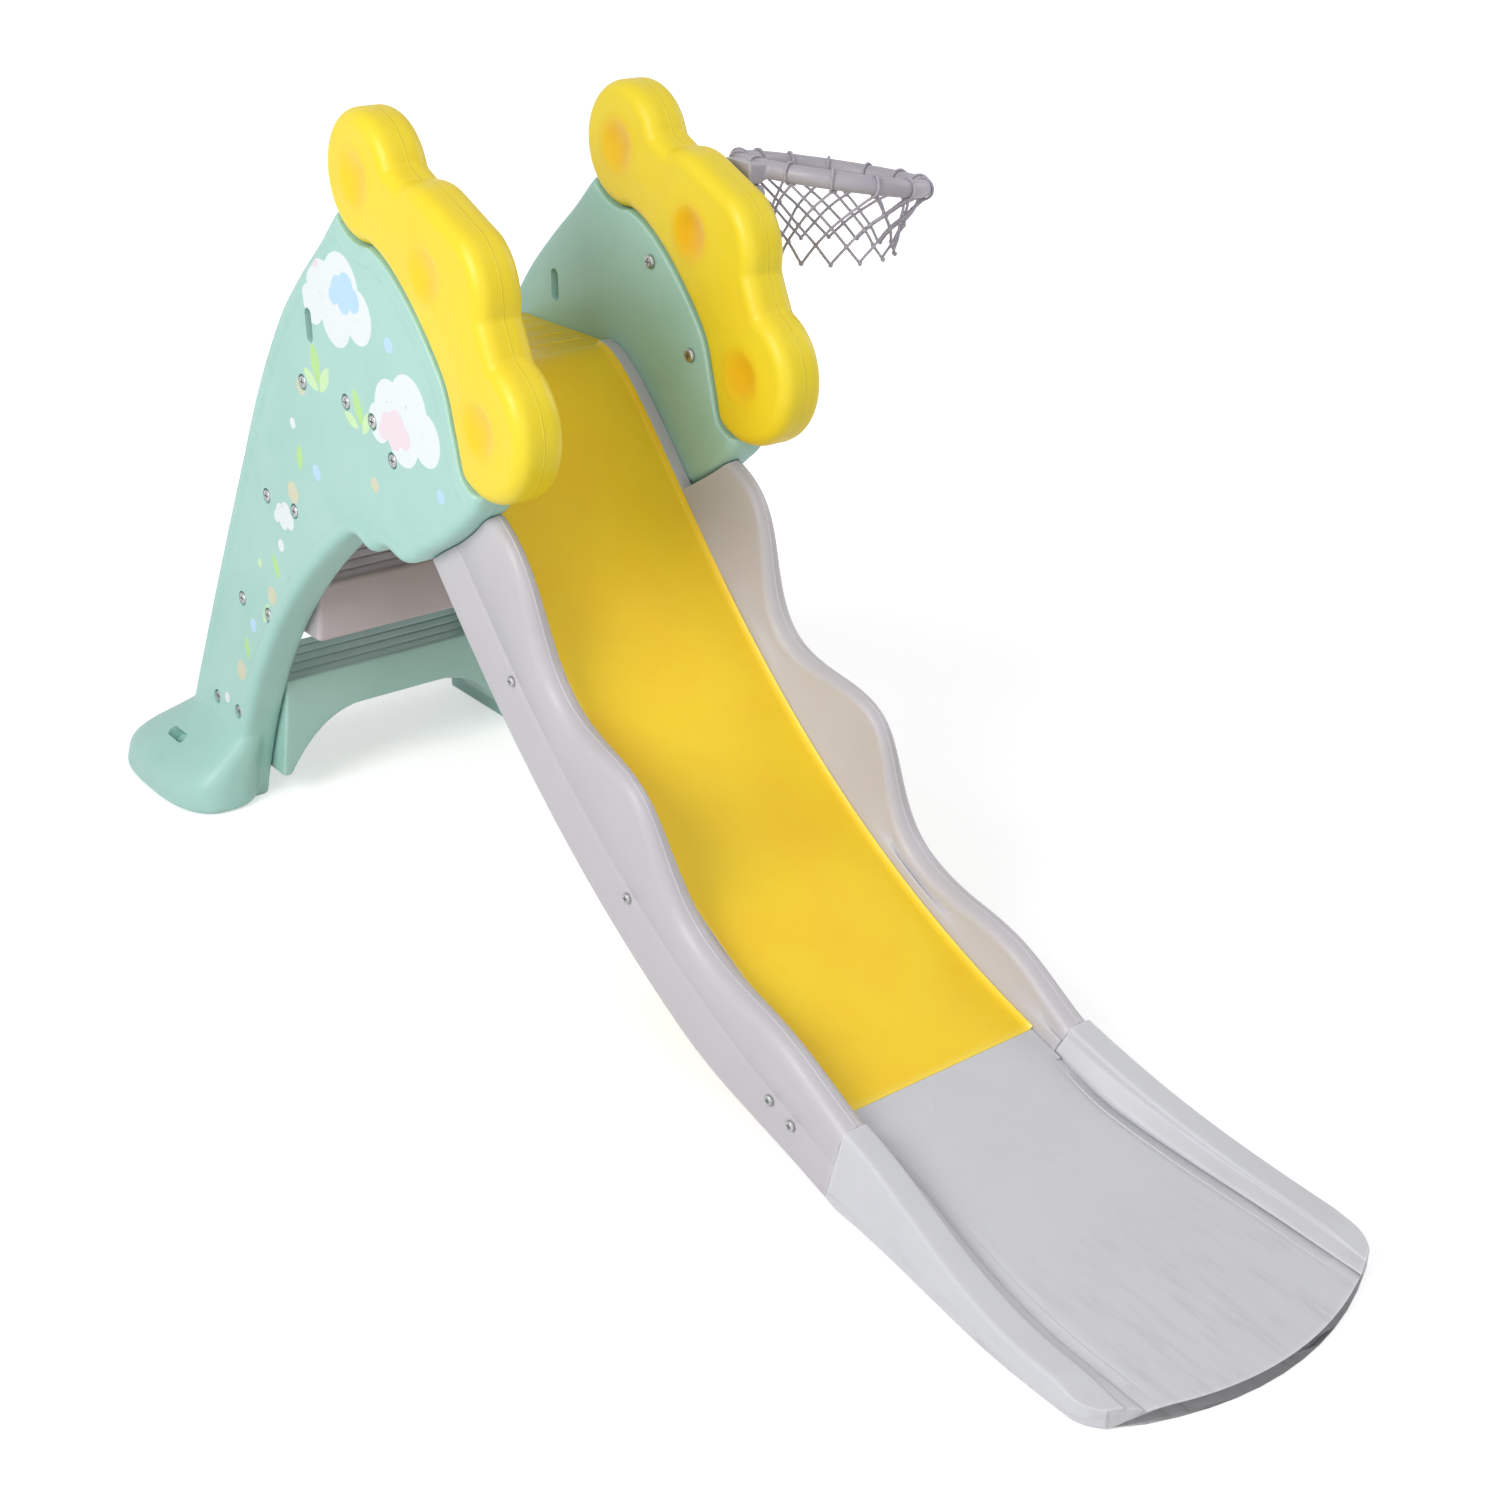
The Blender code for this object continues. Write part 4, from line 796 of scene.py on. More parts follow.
@dataclass(frozen=True)
class SkinGroup:
    """Surface of moulded plastic: clouded tint, fine grain, slow waves, scuffs, rubbed edges, floor dust."""

    name: str = "moulded_skin"
    tint_scale: float = 9.0
    tint_band: Pair = (0.35, 0.75)
    tint_share: float = 0.55
    speck_scale: float = 252.0
    speck_band: Pair = (0.55, 0.8)
    speck_share: float = 0.10
    worn_share: float = 0.5
    grain_scale: float = 1100.0
    wave_scale: float = 16.0
    scratch_scale: float = 75.0
    scratch_turns: tuple[Pair, ...] = ((0.25, 0.007), (-0.5, 0.005))
    scratch_stretch: Triple = (1.0, 0.09, 1.0)
    scratch_depth: float = 0.02
    patch_scale: float = 11.0
    patch_band: Pair = (0.5, 0.72)
    dust: Triple = (0.33, 0.31, 0.29)
    dust_height: float = 0.045
    dust_scale: float = 95.0
    dust_stretch: Triple = (1.0, 0.12, 1.0)
    dust_band: Pair = (0.45, 0.8)
    sheen_scale: float = 34.0
    sheen_swing: float = 0.22
    edge_polish: float = 0.08
    scratch_dulling: float = 0.18
    dust_dulling: float = 0.3

    def build(self) -> bpy.types.NodeTree:
        """Make the group, the first time that it is asked for.

        Returns:
            Group with Colour, Roughness and Height in millimetres.
        """
        known = bpy.data.node_groups.get(self.name)
        if known:
            return known
        tree, desk, given, result = new_group(
            self.name,
            (("Colour", "Color"), ("Deep", "Color"), ("Worn", "Color"), ("Roughness", "Float"),
             ("Grain", "Float"), ("Wave", "Float"), ("Scuff", "Float"), ("Dust", "Float"), ("Edge", "Float")),
            (("Colour", "Color"), ("Roughness", "Float"), ("Height", "Float")))
        scuff = desk.times(self.scratches(desk), given.outputs["Scuff"])
        dust = desk.times(self.settled(desk), given.outputs["Dust"])
        for output, value in (("Colour", self.tint(desk, given, scuff, dust)),
                              ("Roughness", self.roughness(desk, given, scuff, dust)),
                              ("Height", self.relief(desk, given, scuff))):
            tree.links.new(value, result.inputs[output])
        return tree

    def tint(self, desk: Desk, given: Node, scuff: Socket, dust: Socket) -> Socket:
        """Colour with clouds, specks, rubbed edges, scratches and dust.

        Args:
            desk: The group's desk.
            given: The group's inputs.
            scuff: Where it is scratched.
            dust: Where dust lies.

        Returns:
            The colour.
        """
        place = desk.place()
        cloud = desk.noise(place, self.tint_scale, detail=4.0, roughness=0.6)
        speck = desk.noise(place, self.speck_scale)
        colour = given.outputs["Colour"]
        for share, over in ((desk.band(cloud, *self.tint_band, 0.0, self.tint_share), "Deep"),
                            (desk.band(speck, *self.speck_band, 0.0, self.speck_share), "Deep"),
                            (desk.times(given.outputs["Edge"], self.worn_share), "Worn"),
                            (desk.times(scuff, self.worn_share), "Worn")):
            colour = desk.mix(share, colour, given.outputs[over])
        return desk.mix(dust, colour, (*self.dust, 1.0))

    def relief(self, desk: Desk, given: Node, scuff: Socket) -> Socket:
        """Height of the grain, the waves and the scratches.

        Args:
            desk: The group's desk.
            given: The group's inputs.
            scuff: Where it is scratched.

        Returns:
            The height in millimetres.
        """
        place = desk.place()
        grain = desk.math("SUBTRACT", desk.noise(place, self.grain_scale, detail=3.0, roughness=0.6), 0.5)
        wave = desk.math("SUBTRACT", desk.noise(place, self.wave_scale, detail=1.0), 0.5)
        grain, wave = desk.times(grain, given.outputs["Grain"]), desk.times(wave, given.outputs["Wave"])
        return desk.math("SUBTRACT", desk.math("ADD", grain, wave), desk.times(scuff, self.scratch_depth))

    def roughness(self, desk: Desk, given: Node, scuff: Socket, dust: Socket) -> Socket:
        """Roughness that is uneven, lower on rubbed edges and higher on scratches and dust.

        Args:
            desk: The group's desk.
            given: The group's inputs.
            scuff: Where it is scratched.
            dust: Where dust lies.

        Returns:
            The roughness.
        """
        uneven = desk.math("SUBTRACT", desk.noise(desk.place(), self.sheen_scale, detail=3.0), 0.5)
        rough = desk.math("ADD", given.outputs["Roughness"], desk.times(uneven, self.sheen_swing))
        rough = desk.math("SUBTRACT", rough, desk.times(given.outputs["Edge"], self.edge_polish))
        rough = desk.math("ADD", rough, desk.times(scuff, self.scratch_dulling))
        return desk.math("ADD", rough, desk.times(dust, self.dust_dulling), clamp=True)

    def settled(self, desk: Desk) -> Socket:
        """Streaks of dust on what lies near the floor.

        Args:
            desk: The group's desk.

        Returns:
            Where dust lies.
        """
        place = desk.place()
        height = desk.node("ShaderNodeSeparateXYZ", place).outputs["Z"]
        low = desk.band(height, self.dust_height, 0.0)
        trail = desk.vector("MULTIPLY", place, self.dust_stretch)
        streaks = desk.noise(trail, self.dust_scale, detail=5.0, roughness=0.65)
        return desk.times(low, desk.band(streaks, *self.dust_band))

    def scratches(self, desk: Desk) -> Socket:
        """Fine scratches that run mostly along the slide.

        Args:
            desk: The group's desk.

        Returns:
            Where it is scratched.
        """
        place, lines = desk.place(), []
        for turn, thin in self.scratch_turns:
            turned = desk.node("ShaderNodeMapping", place, Rotation=(turn, 0.1, turn),
                               Scale=self.scratch_stretch)
            wander = desk.noise(turned.outputs["Vector"], self.scratch_scale, roughness=0.55)
            away = desk.math("ABSOLUTE", desk.math("SUBTRACT", wander, 0.5))
            lines.append(desk.band(away, thin, 0.0))
        patches = desk.band(desk.noise(place, self.patch_scale), *self.patch_band)
        return desk.times(desk.math("MAXIMUM", *lines), patches)


@dataclass(frozen=True)
class Motif:
    """One printed figure: circles joined, or crossed into a leaf."""

    colour: Triple
    circles: tuple[Triple, ...]
    crossed: bool = False

    def mask(self, desk: Desk, flat: Socket) -> Socket:
        """Where the figure is printed.

        Args:
            desk: The tree's desk.
            flat: Place with its X taken out.

        Returns:
            1 inside the figure and 0 outside it.
        """
        whole = None
        for y, z, radius in self.circles:
            away = desk.vector("DISTANCE", flat, (0.0, y, z), "Value")
            inside = desk.band(away, radius + 0.5 * MM, radius - 0.5 * MM)
            if whole is None:
                whole = inside
            else:
                whole = desk.math("MINIMUM" if self.crossed else "MAXIMUM", whole, inside)
        return whole


def leaf(y: float, z: float, length: float, plump: float, turn: float, colour: Triple) -> Motif:
    """Leaf between two crossed circles.

    Args:
        y: Its middle.
        z: Its middle.
        length: Tip to tip.
        plump: Its width as a share of its length.
        turn: Angle of its length from +Y, in degrees.
        colour: Its colour.

    Returns:
        The figure.
    """
    half, width = length / 2, length * plump / 2
    radius = (half ** 2 + width ** 2) / (2 * width)
    away = radius - width
    across = math.radians(turn + 90)
    step = (math.cos(across) * away, math.sin(across) * away)
    return Motif(colour, ((y + step[0], z + step[1], radius), (y - step[0], z - step[1], radius)), True)


def cloud(y: float, z: float, size: float, colour: Triple) -> Motif:
    """Cloud of five joined circles.

    Args:
        y: Its middle.
        z: Its middle.
        size: Half its length.
        colour: Its colour.

    Returns:
        The figure.
    """
    puffs = ((-0.62, -0.10, 0.40), (-0.18, 0.22, 0.52), (0.36, 0.10, 0.46), (0.74, -0.16, 0.30),
             (0.05, -0.22, 0.44))
    return Motif(colour, tuple((y + size * dy, z + size * dz, size * r) for dy, dz, r in puffs))


@dataclass(frozen=True)
class PanelPrint:
    """Clouds, leaf sprigs and dots that are printed on the outer faces of the side panels."""

    name: str = "panel_print"
    white: Triple = (0.74, 0.80, 0.81)
    blush: Triple = (0.78, 0.66, 0.71)
    green: Triple = (0.42, 0.70, 0.24)
    pale_green: Triple = (0.55, 0.78, 0.42)
    sky: Triple = (0.44, 0.66, 0.86)
    sand: Triple = (0.60, 0.60, 0.42)
    leaf_plump: float = 0.42
    fleck_scale: float = 190.0
    fleck_band: Pair = (0.22, 0.34)

    @property
    def motifs(self) -> tuple[Motif, ...]:
        """Every printed figure.

        Returns:
            The figures, in the order of printing.
        """
        clouds = ((1.020, 0.730, 0.078, self.white), (0.884, 0.624, 0.076, self.white),
                  (0.906, 0.610, 0.034, self.blush), (1.000, 0.742, 0.034, self.sky),
                  (1.205, 0.432, 0.026, self.white))
        leaves = ((1.085, 0.648, 78, 0.050, self.green), (1.066, 0.632, 128, 0.042, self.pale_green),
                  (1.100, 0.626, 30, 0.040, self.pale_green), (0.988, 0.618, 70, 0.044, self.green),
                  (0.970, 0.604, 125, 0.036, self.pale_green), (1.006, 0.600, 22, 0.034, self.pale_green),
                  (1.150, 0.520, 100, 0.036, self.green), (1.232, 0.360, 62, 0.034, self.green),
                  (1.262, 0.290, 118, 0.032, self.pale_green), (1.318, 0.226, 75, 0.030, self.green))
        dots = ((1.128, 0.612, 0.011, self.sand), (1.176, 0.470, 0.014, self.sand),
                (1.245, 0.318, 0.012, self.sand), (1.335, 0.190, 0.013, self.sand),
                (0.905, 0.705, 0.009, self.sky), (1.108, 0.512, 0.010, self.sky),
                (1.216, 0.392, 0.008, self.white), (1.300, 0.262, 0.009, self.sky),
                (0.962, 0.535, 0.009, self.sand), (1.060, 0.770, 0.008, self.blush),
                (0.812, 0.560, 0.008, self.sky), (1.160, 0.560, 0.007, self.white),
                (1.278, 0.352, 0.006, self.pale_green), (1.372, 0.140, 0.007, self.white))
        figures = [cloud(*values) for values in clouds]
        figures += [leaf(y, z, long, self.leaf_plump, turn, colour) for y, z, turn, long, colour in leaves]
        figures += [Motif(colour, ((y, z, radius),)) for y, z, radius, colour in dots]
        return tuple(figures)

    def build(self) -> bpy.types.NodeTree:
        """Make the group, the first time that it is asked for.

        Returns:
            Group that prints the figures over a colour.
        """
        known = bpy.data.node_groups.get(self.name)
        if known:
            return known
        tree, desk, given, result = new_group(self.name, (("Colour", "Color"), ("Area", "Float")),
                                              (("Colour", "Color"), ("Ink", "Float")))
        place = desk.place()
        flat = desk.vector("MULTIPLY", place, (0.0, 1.0, 1.0))
        wear = desk.band(desk.noise(place, self.fleck_scale, detail=3.0), *self.fleck_band)
        colour, ink = given.outputs["Colour"], None
        for motif in self.motifs:
            mask = motif.mask(desk, flat)
            share = desk.times(desk.times(mask, wear), given.outputs["Area"])
            colour = desk.mix(share, colour, (*motif.colour, 1.0))
            ink = share if ink is None else desk.math("MAXIMUM", ink, share)
        tree.links.new(colour, result.inputs["Colour"])
        tree.links.new(ink, result.inputs["Ink"])
        return tree


@dataclass(frozen=True)
class Plastic:
    """Finish of one moulded plastic."""

    name: str
    colour: Triple
    deep: Triple
    worn: Triple
    roughness: float = 0.40
    grain: float = 0.035
    wave: float = 0.30
    scuff: float = 0.35
    dust: float = 0.25
    seam_at: float | None = None
    printed: bool = False
    # hollow: painted shade colour, mixed in where the hollow attribute marks the shaded dimples
    hollow: Triple | None = None
    gloss: float = 0.40
    ink_gloss: float = 0.07
    seam_width: float = 1.3 * MM
    seam_height: float = 0.45

    def build(self) -> bpy.types.Material:
        """Make the material, the first time that it is asked for.

        Returns:
            The material.
        """
        known = bpy.data.materials.get(self.name)
        if known:
            return known
        made, desk, shader = new_finish(self.name)
        skin = desk.node("ShaderNodeGroup")
        skin.node_tree = SkinGroup().build()
        colour: object = (*self.colour, 1.0)
        # Painted shade: a darker colour mixed in where the hollow attribute marks the guard's dimples
        if self.hollow:
            colour = desk.mix(desk.attribute("hollow"), colour, (*self.hollow, 1.0))
        for name, value in (("Colour", colour), ("Deep", (*self.deep, 1.0)), ("Worn", (*self.worn, 1.0)),
                            ("Roughness", self.roughness), ("Grain", self.grain), ("Wave", self.wave),
                            ("Scuff", self.scuff), ("Dust", self.dust), ("Edge", desk.attribute("edge"))):
            desk.feed(skin, name, value)
        colour, rough, height = (skin.outputs[name] for name in ("Colour", "Roughness", "Height"))
        if self.printed:
            ink = desk.node("ShaderNodeGroup")
            ink.node_tree = PanelPrint().build()
            desk.feed(ink, "Colour", colour)
            desk.feed(ink, "Area", desk.attribute("print_area"))
            colour = ink.outputs["Colour"]
            rough = desk.math("SUBTRACT", rough, desk.times(ink.outputs["Ink"], self.ink_gloss))
        if self.seam_at is not None:
            height = desk.math("ADD", height, self.parting_line(desk))
        desk.dress(shader, colour, rough, height, 1.0)
        shader.inputs["Specular IOR Level"].default_value = self.gloss
        return made

    def parting_line(self, desk: Desk) -> Socket:
        """Thin raised line where the two halves of the mould met.

        Args:
            desk: The material's desk.

        Returns:
            Its height in millimetres.
        """
        x = desk.math("ABSOLUTE", desk.node("ShaderNodeSeparateXYZ", desk.place()).outputs["X"])
        away = desk.math("ABSOLUTE", desk.math("SUBTRACT", x, self.seam_at))
        ridge = desk.band(away, self.seam_width, GAP)
        return desk.times(desk.times(ridge, desk.attribute("rim")), self.seam_height)


@dataclass(frozen=True)
class Cord:
    """Finish of the net's twisted cord."""

    name: str = "net_twine"
    colour: Triple = (0.46, 0.43, 0.50)
    deep: Triple = (0.31, 0.28, 0.34)
    fibre_scale: float = 2600.0
    fibre_stretch: Triple = (1.0, 1.0, 0.35)
    fibre_height: float = 0.25
    shade_scale: float = 240.0
    sheen: float = 0.25

    def build(self) -> bpy.types.Material:
        """Make the material.

        Returns:
            The material.
        """
        made, desk, shader = new_finish(self.name)
        place = desk.place()
        deep = (*self.deep, 1.0)
        stretched = desk.vector("MULTIPLY", place, self.fibre_stretch)
        fibre = desk.noise(stretched, self.fibre_scale, roughness=0.6)
        shade = desk.noise(place, self.shade_scale, detail=3.0)
        colour = desk.mix(desk.band(shade, 0.4, 0.75, 0.0, 0.6), (*self.colour, 1.0), deep)
        colour = desk.mix(desk.band(fibre, 0.5, 0.8, 0.0, 0.35), colour, deep)
        rough = desk.band(shade, 0.2, 0.8, 0.72, 0.92)
        desk.dress(shader, colour, rough, desk.times(fibre, self.fibre_height), 0.8)
        shader.inputs["Sheen Weight"].default_value = self.sheen
        return made


@dataclass(frozen=True)
class Steel:
    """Finish of the screws: zinc-plated steel with drawn marks and dull blotches."""

    name: str = "zinc_screw"
    colour: Triple = (0.46, 0.47, 0.47)
    dull: Triple = (0.29, 0.29, 0.28)
    blotch_scale: float = 420.0
    mark_scale: float = 3000.0
    mark_stretch: Triple = (1.0, 0.15, 1.0)
    mark_height: float = 0.03

    def build(self) -> bpy.types.Material:
        """Make the material.

        Returns:
            The material.
        """
        made, desk, shader = new_finish(self.name)
        place = desk.place()
        blotch = desk.noise(place, self.blotch_scale, detail=3.0)
        marks = desk.noise(desk.vector("MULTIPLY", place, self.mark_stretch), self.mark_scale)
        colour = desk.mix(desk.band(blotch, 0.35, 0.7, 0.0, 0.7), (*self.colour, 1.0), (*self.dull, 1.0))
        rough = desk.band(blotch, 0.2, 0.8, 0.28, 0.5)
        desk.dress(shader, colour, rough, desk.times(marks, self.mark_height), 0.6)
        shader.inputs["Metallic"].default_value = 1.0
        return made


# The guard's hollow colour is painted shade: darker orange in and round its dimples
YELLOW_GUARD = Plastic("yellow_guard", (0.82, 0.65, 0.026), (0.82, 0.59, 0.020), (0.88, 0.76, 0.14),
                       seam_at=0.1665, hollow=(0.83, 0.45, 0.009), dust=0.0, gloss=0.34)
YELLOW_BED = Plastic("yellow_bed", (0.91, 0.635, 0.021), (0.89, 0.535, 0.016), (0.92, 0.75, 0.14),
                     roughness=0.38, wave=0.18, scuff=0.8, dust=0.0, gloss=0.32)
MINT_PANEL = Plastic("mint_panel", (0.375, 0.62, 0.56), (0.32, 0.575, 0.495), (0.57, 0.78, 0.73),
                     seam_at=0.1665, printed=True, roughness=0.42)
MINT_STEP = Plastic("mint_step", (0.38, 0.59, 0.53), (0.31, 0.54, 0.47), (0.56, 0.76, 0.70), roughness=0.44)
LILAC_RAIL = Plastic("lilac_rail", (0.51, 0.49, 0.52), (0.48, 0.455, 0.475), (0.65, 0.625, 0.655), wave=0.25)
LILAC_STEP = Plastic("lilac_step", (0.51, 0.45, 0.47), (0.45, 0.39, 0.40), (0.63, 0.57, 0.59), roughness=0.46)
LILAC_HOOP = Plastic("lilac_hoop", (0.40, 0.38, 0.43), (0.36, 0.34, 0.39), (0.54, 0.52, 0.57), wave=0.10)
PALE_RUN_OUT = Plastic("pale_run_out", (0.59, 0.595, 0.625), (0.55, 0.555, 0.585), (0.71, 0.71, 0.74),
                       roughness=0.42, wave=0.18, scuff=0.9, dust=0.45, gloss=0.32)


# The slide's shared lines and levels

@dataclass(frozen=True)
class ChuteLine:
    """The line that the bed, the rails and the run-out follow."""

    bed_low: Pair = (0.200, 0.080)
    bed_high: Pair = (0.975, 0.643)
    slope: float = math.radians(16.4)
    low_guide: float = 0.520
    high_guide: float = 0.106
    outer_end: Pair = (-0.190, 0.017)
    outer_reach: float = 0.42
    outer_rise: float = 0.004
    steps: int = 500

    @cached_property
    def table(self) -> np.ndarray:
        """Places and directions from the run-out's end up to the deck.

        Returns:
            Rows of distance, y, z and direction.
        """
        lean = (math.cos(self.slope), math.sin(self.slope))
        reach = (self.bed_low[0] - self.outer_end[0]) * self.outer_reach
        low, high = self.bed_low, self.bed_high
        tray = (self.outer_end, (self.outer_end[0] + reach, self.outer_end[1] + self.outer_rise),
                (low[0] - reach * lean[0], low[1] - reach * lean[1]), low)
        bed = (low, (low[0] + self.low_guide * lean[0], low[1] + self.low_guide * lean[1]),
               (high[0] - self.high_guide, high[1]), high)
        rows = []
        for ends in (tray, bed):
            points = np.array(bezier(ends, self.steps))
            chords = np.hypot(*np.diff(points, axis=0).T)
            distance = np.concatenate(([0.0], np.cumsum(chords)))
            if ends is tray:
                distance -= distance[-1]
            ways = np.gradient(points, axis=0)
            ways /= np.hypot(*ways.T)[:, None]
            rows.append(np.column_stack((distance, points, ways)))
        rows[1][0, 3:] = lean
        return np.vstack((rows[0][:-1], rows[1]))

    @property
    def length(self) -> float:
        """Length of the bed."""
        return float(self.table[-1, 0])

    @property
    def tray_length(self) -> float:
        """Length of the run-out."""
        return -float(self.table[0, 0])

    def frame(self, distance: float) -> tuple[Vector, Vector]:
        """Place and direction at a distance.

        Args:
            distance: From the bed's lower end, below zero on the run-out.

        Returns:
            Point and unit direction, as (y, z).
        """
        values = [float(np.interp(distance, self.table[:, 0], column)) for column in self.table[:, 1:].T]
        return Vector(values[:2]), Vector(values[2:]).normalized()

    def place(self, distance: float, height: float = 0.0) -> Pair:
        """Point (y, z) at a distance along the line and a height square to it."""
        spot, way = self.frame(distance)
        return (spot.x - way.y * height, spot.y + way.x * height)


LINE = ChuteLine()


@dataclass(frozen=True)
class Uprights:
    """Sizes that the side panels, the guards and the ladder share."""

    deck_front: float = 0.975
    deck_rear: float = 1.165
    deck_z: float = 0.643
    inner_half: float = 0.1395
    panel_thickness: float = 0.054
    guard_thickness: float = 0.058
    flare_out: float = 0.050
    flare_top: float = 0.500
    flare_power: float = 1.5
    foot_front: float = 1.325
    foot_rear: float = 1.524

    @property
    def panel_middle(self) -> float:
        """Middle plane of a panel."""
        return self.inner_half + self.panel_thickness / 2

    @property
    def panel_outer(self) -> float:
        """Outer face of a panel."""
        return self.inner_half + self.panel_thickness

    @property
    def guard_outer(self) -> float:
        """Outer face of a guard."""
        return self.panel_middle + self.guard_thickness / 2

    def from_deck(self, offset: Sequence[float]) -> Pair:
        """Point at an offset from the deck's front edge."""
        return (self.deck_front + offset[0], self.deck_z + offset[1])

    def flare(self, heights: np.ndarray | float) -> np.ndarray | float:
        """Sideways lean of a leg at a height."""
        share = np.clip((self.flare_top - np.maximum(heights, 0.0)) / self.flare_top, 0.0, 1.0)
        return self.flare_out * share ** self.flare_power

    @cached_property
    def leg_rear(self) -> list[Pair]:
        """Rear edge of a leg, from the top down."""
        return bezier(((self.deck_rear - 0.005, self.deck_z + 0.057),
                       ((self.deck_rear + self.foot_rear) / 2 + 0.028, self.deck_z * 0.73),
                       (self.foot_rear, -0.012)), 36)

    @cached_property
    def leg_front(self) -> list[Pair]:
        """Front edge of a leg, from the floor up to the arch."""
        return bezier(((self.foot_front + 0.018, -0.012), (self.foot_front, self.deck_z * 0.40),
                       self.from_deck((0.078, -0.200))), 30)

    def rear_at(self, height: float) -> float:
        """Y of a leg's rear edge at a height."""
        line = self.leg_rear[::-1]
        return float(np.interp(height, [z for _, z in line], [y for y, _ in line]))


UP = Uprights()


@dataclass(frozen=True)
class GuardShape:
    """Outline of a hand guard: three lobes in front and the seam with the panel behind."""

    top: Triple = (-0.029, 0.232, 0.071)
    middle_rear: Triple = (-0.139, 0.169, 0.073)
    middle_front: Triple = (-0.196, 0.142, 0.076)
    low: Triple = (-0.259, 0.013, 0.079)
    seam: tuple[Pair, ...] = ((-0.199, -0.005), (-0.182, 0.046), (-0.132, 0.105), (-0.082, 0.145))

    @cached_property
    def outline(self) -> list[Pair]:
        """Outline of the guard.

        Returns:
            Its points, anticlockwise.
        """
        points = arc(UP.from_deck(self.top), self.top[2], -100, 164, 52)
        points += arc(UP.from_deck(self.middle_rear), self.middle_rear[2], 76, 112, 9)
        points += arc(UP.from_deck(self.middle_front), self.middle_front[2], 124, 192, 15)
        points += arc(UP.from_deck(self.low), self.low[2], 112, 305, 42)
        seam = [UP.from_deck(offset) for offset in self.seam]
        points += smooth_through([points[-6], points[-1], *seam, points[0], points[6]], 7)[1:-1]
        return points

    @property
    def centres(self) -> tuple[Pair, ...]:
        """Middles of the dimples, from the top lobe down."""
        middle = tuple((self.middle_rear[axis] + self.middle_front[axis]) / 2 for axis in (0, 1))
        return tuple(UP.from_deck(offset) for offset in (self.top, middle, self.low))


@dataclass(frozen=True)
class PanelShape:
    """Outline of a side panel, with a scalloped arch under the deck."""

    shoulder: tuple[Pair, ...] = ((0.026, 0.193), (0.075, 0.150), (0.128, 0.108))
    scallops: tuple[Pair, ...] = ((0.078, -0.200), (0.045, -0.187), (0.010, -0.196), (-0.025, -0.181),
                                  (-0.070, -0.187), (-0.115, -0.163), (-0.165, -0.135), (-0.210, -0.103),
                                  (-0.240, -0.070))

    @cached_property
    def outline(self) -> list[Pair]:
        """Outline of the panel. Its upper front runs inside the guard, which is cut out of it.

        Returns:
            Its points, anticlockwise.
        """
        guard = GuardShape()
        lobes = (guard.low, guard.middle_front, guard.middle_rear, guard.top)
        under_guard = [UP.from_deck(lobe) for lobe in lobes]
        shoulder = [UP.from_deck(offset) for offset in self.shoulder]
        scallops = [UP.from_deck(offset) for offset in self.scallops]
        points = smooth_through([under_guard[-1], *shoulder, UP.leg_rear[0], UP.leg_rear[4]], 9)[:-1]
        points += UP.leg_rear
        points += UP.leg_front[:-1]
        points += smooth_through([UP.leg_front[-4], *scallops, under_guard[0]], 9)
        points += under_guard
        return points[::-1]


def along_line(name: str, span: Pair, cuts: int, section: Callable[[float], Sequence[Pair]],
               sign: int = 1) -> Piece:
    """Piece whose section is fitted to the chute's line at every station.

    Args:
        name: Name of the piece.
        span: First and last station.
        cuts: Cuts between the two ends.
        section: Outline at a station, as (x, height).
        sign: -1 puts it on the left.

    Returns:
        The closed piece.
    """
    start, end = span
    outline_at = cache(section)

    def rule(index: int, share: float) -> Triple:
        """Place of a point of the outline at a share of the length."""
        x, height = outline_at(start + (end - start) * share)[index]
        return (sign * x, *LINE.place(start + (end - start) * share, height))

    return Bench.sweep(name, len(section(start)), cuts, rule)


# Sub-assemblies

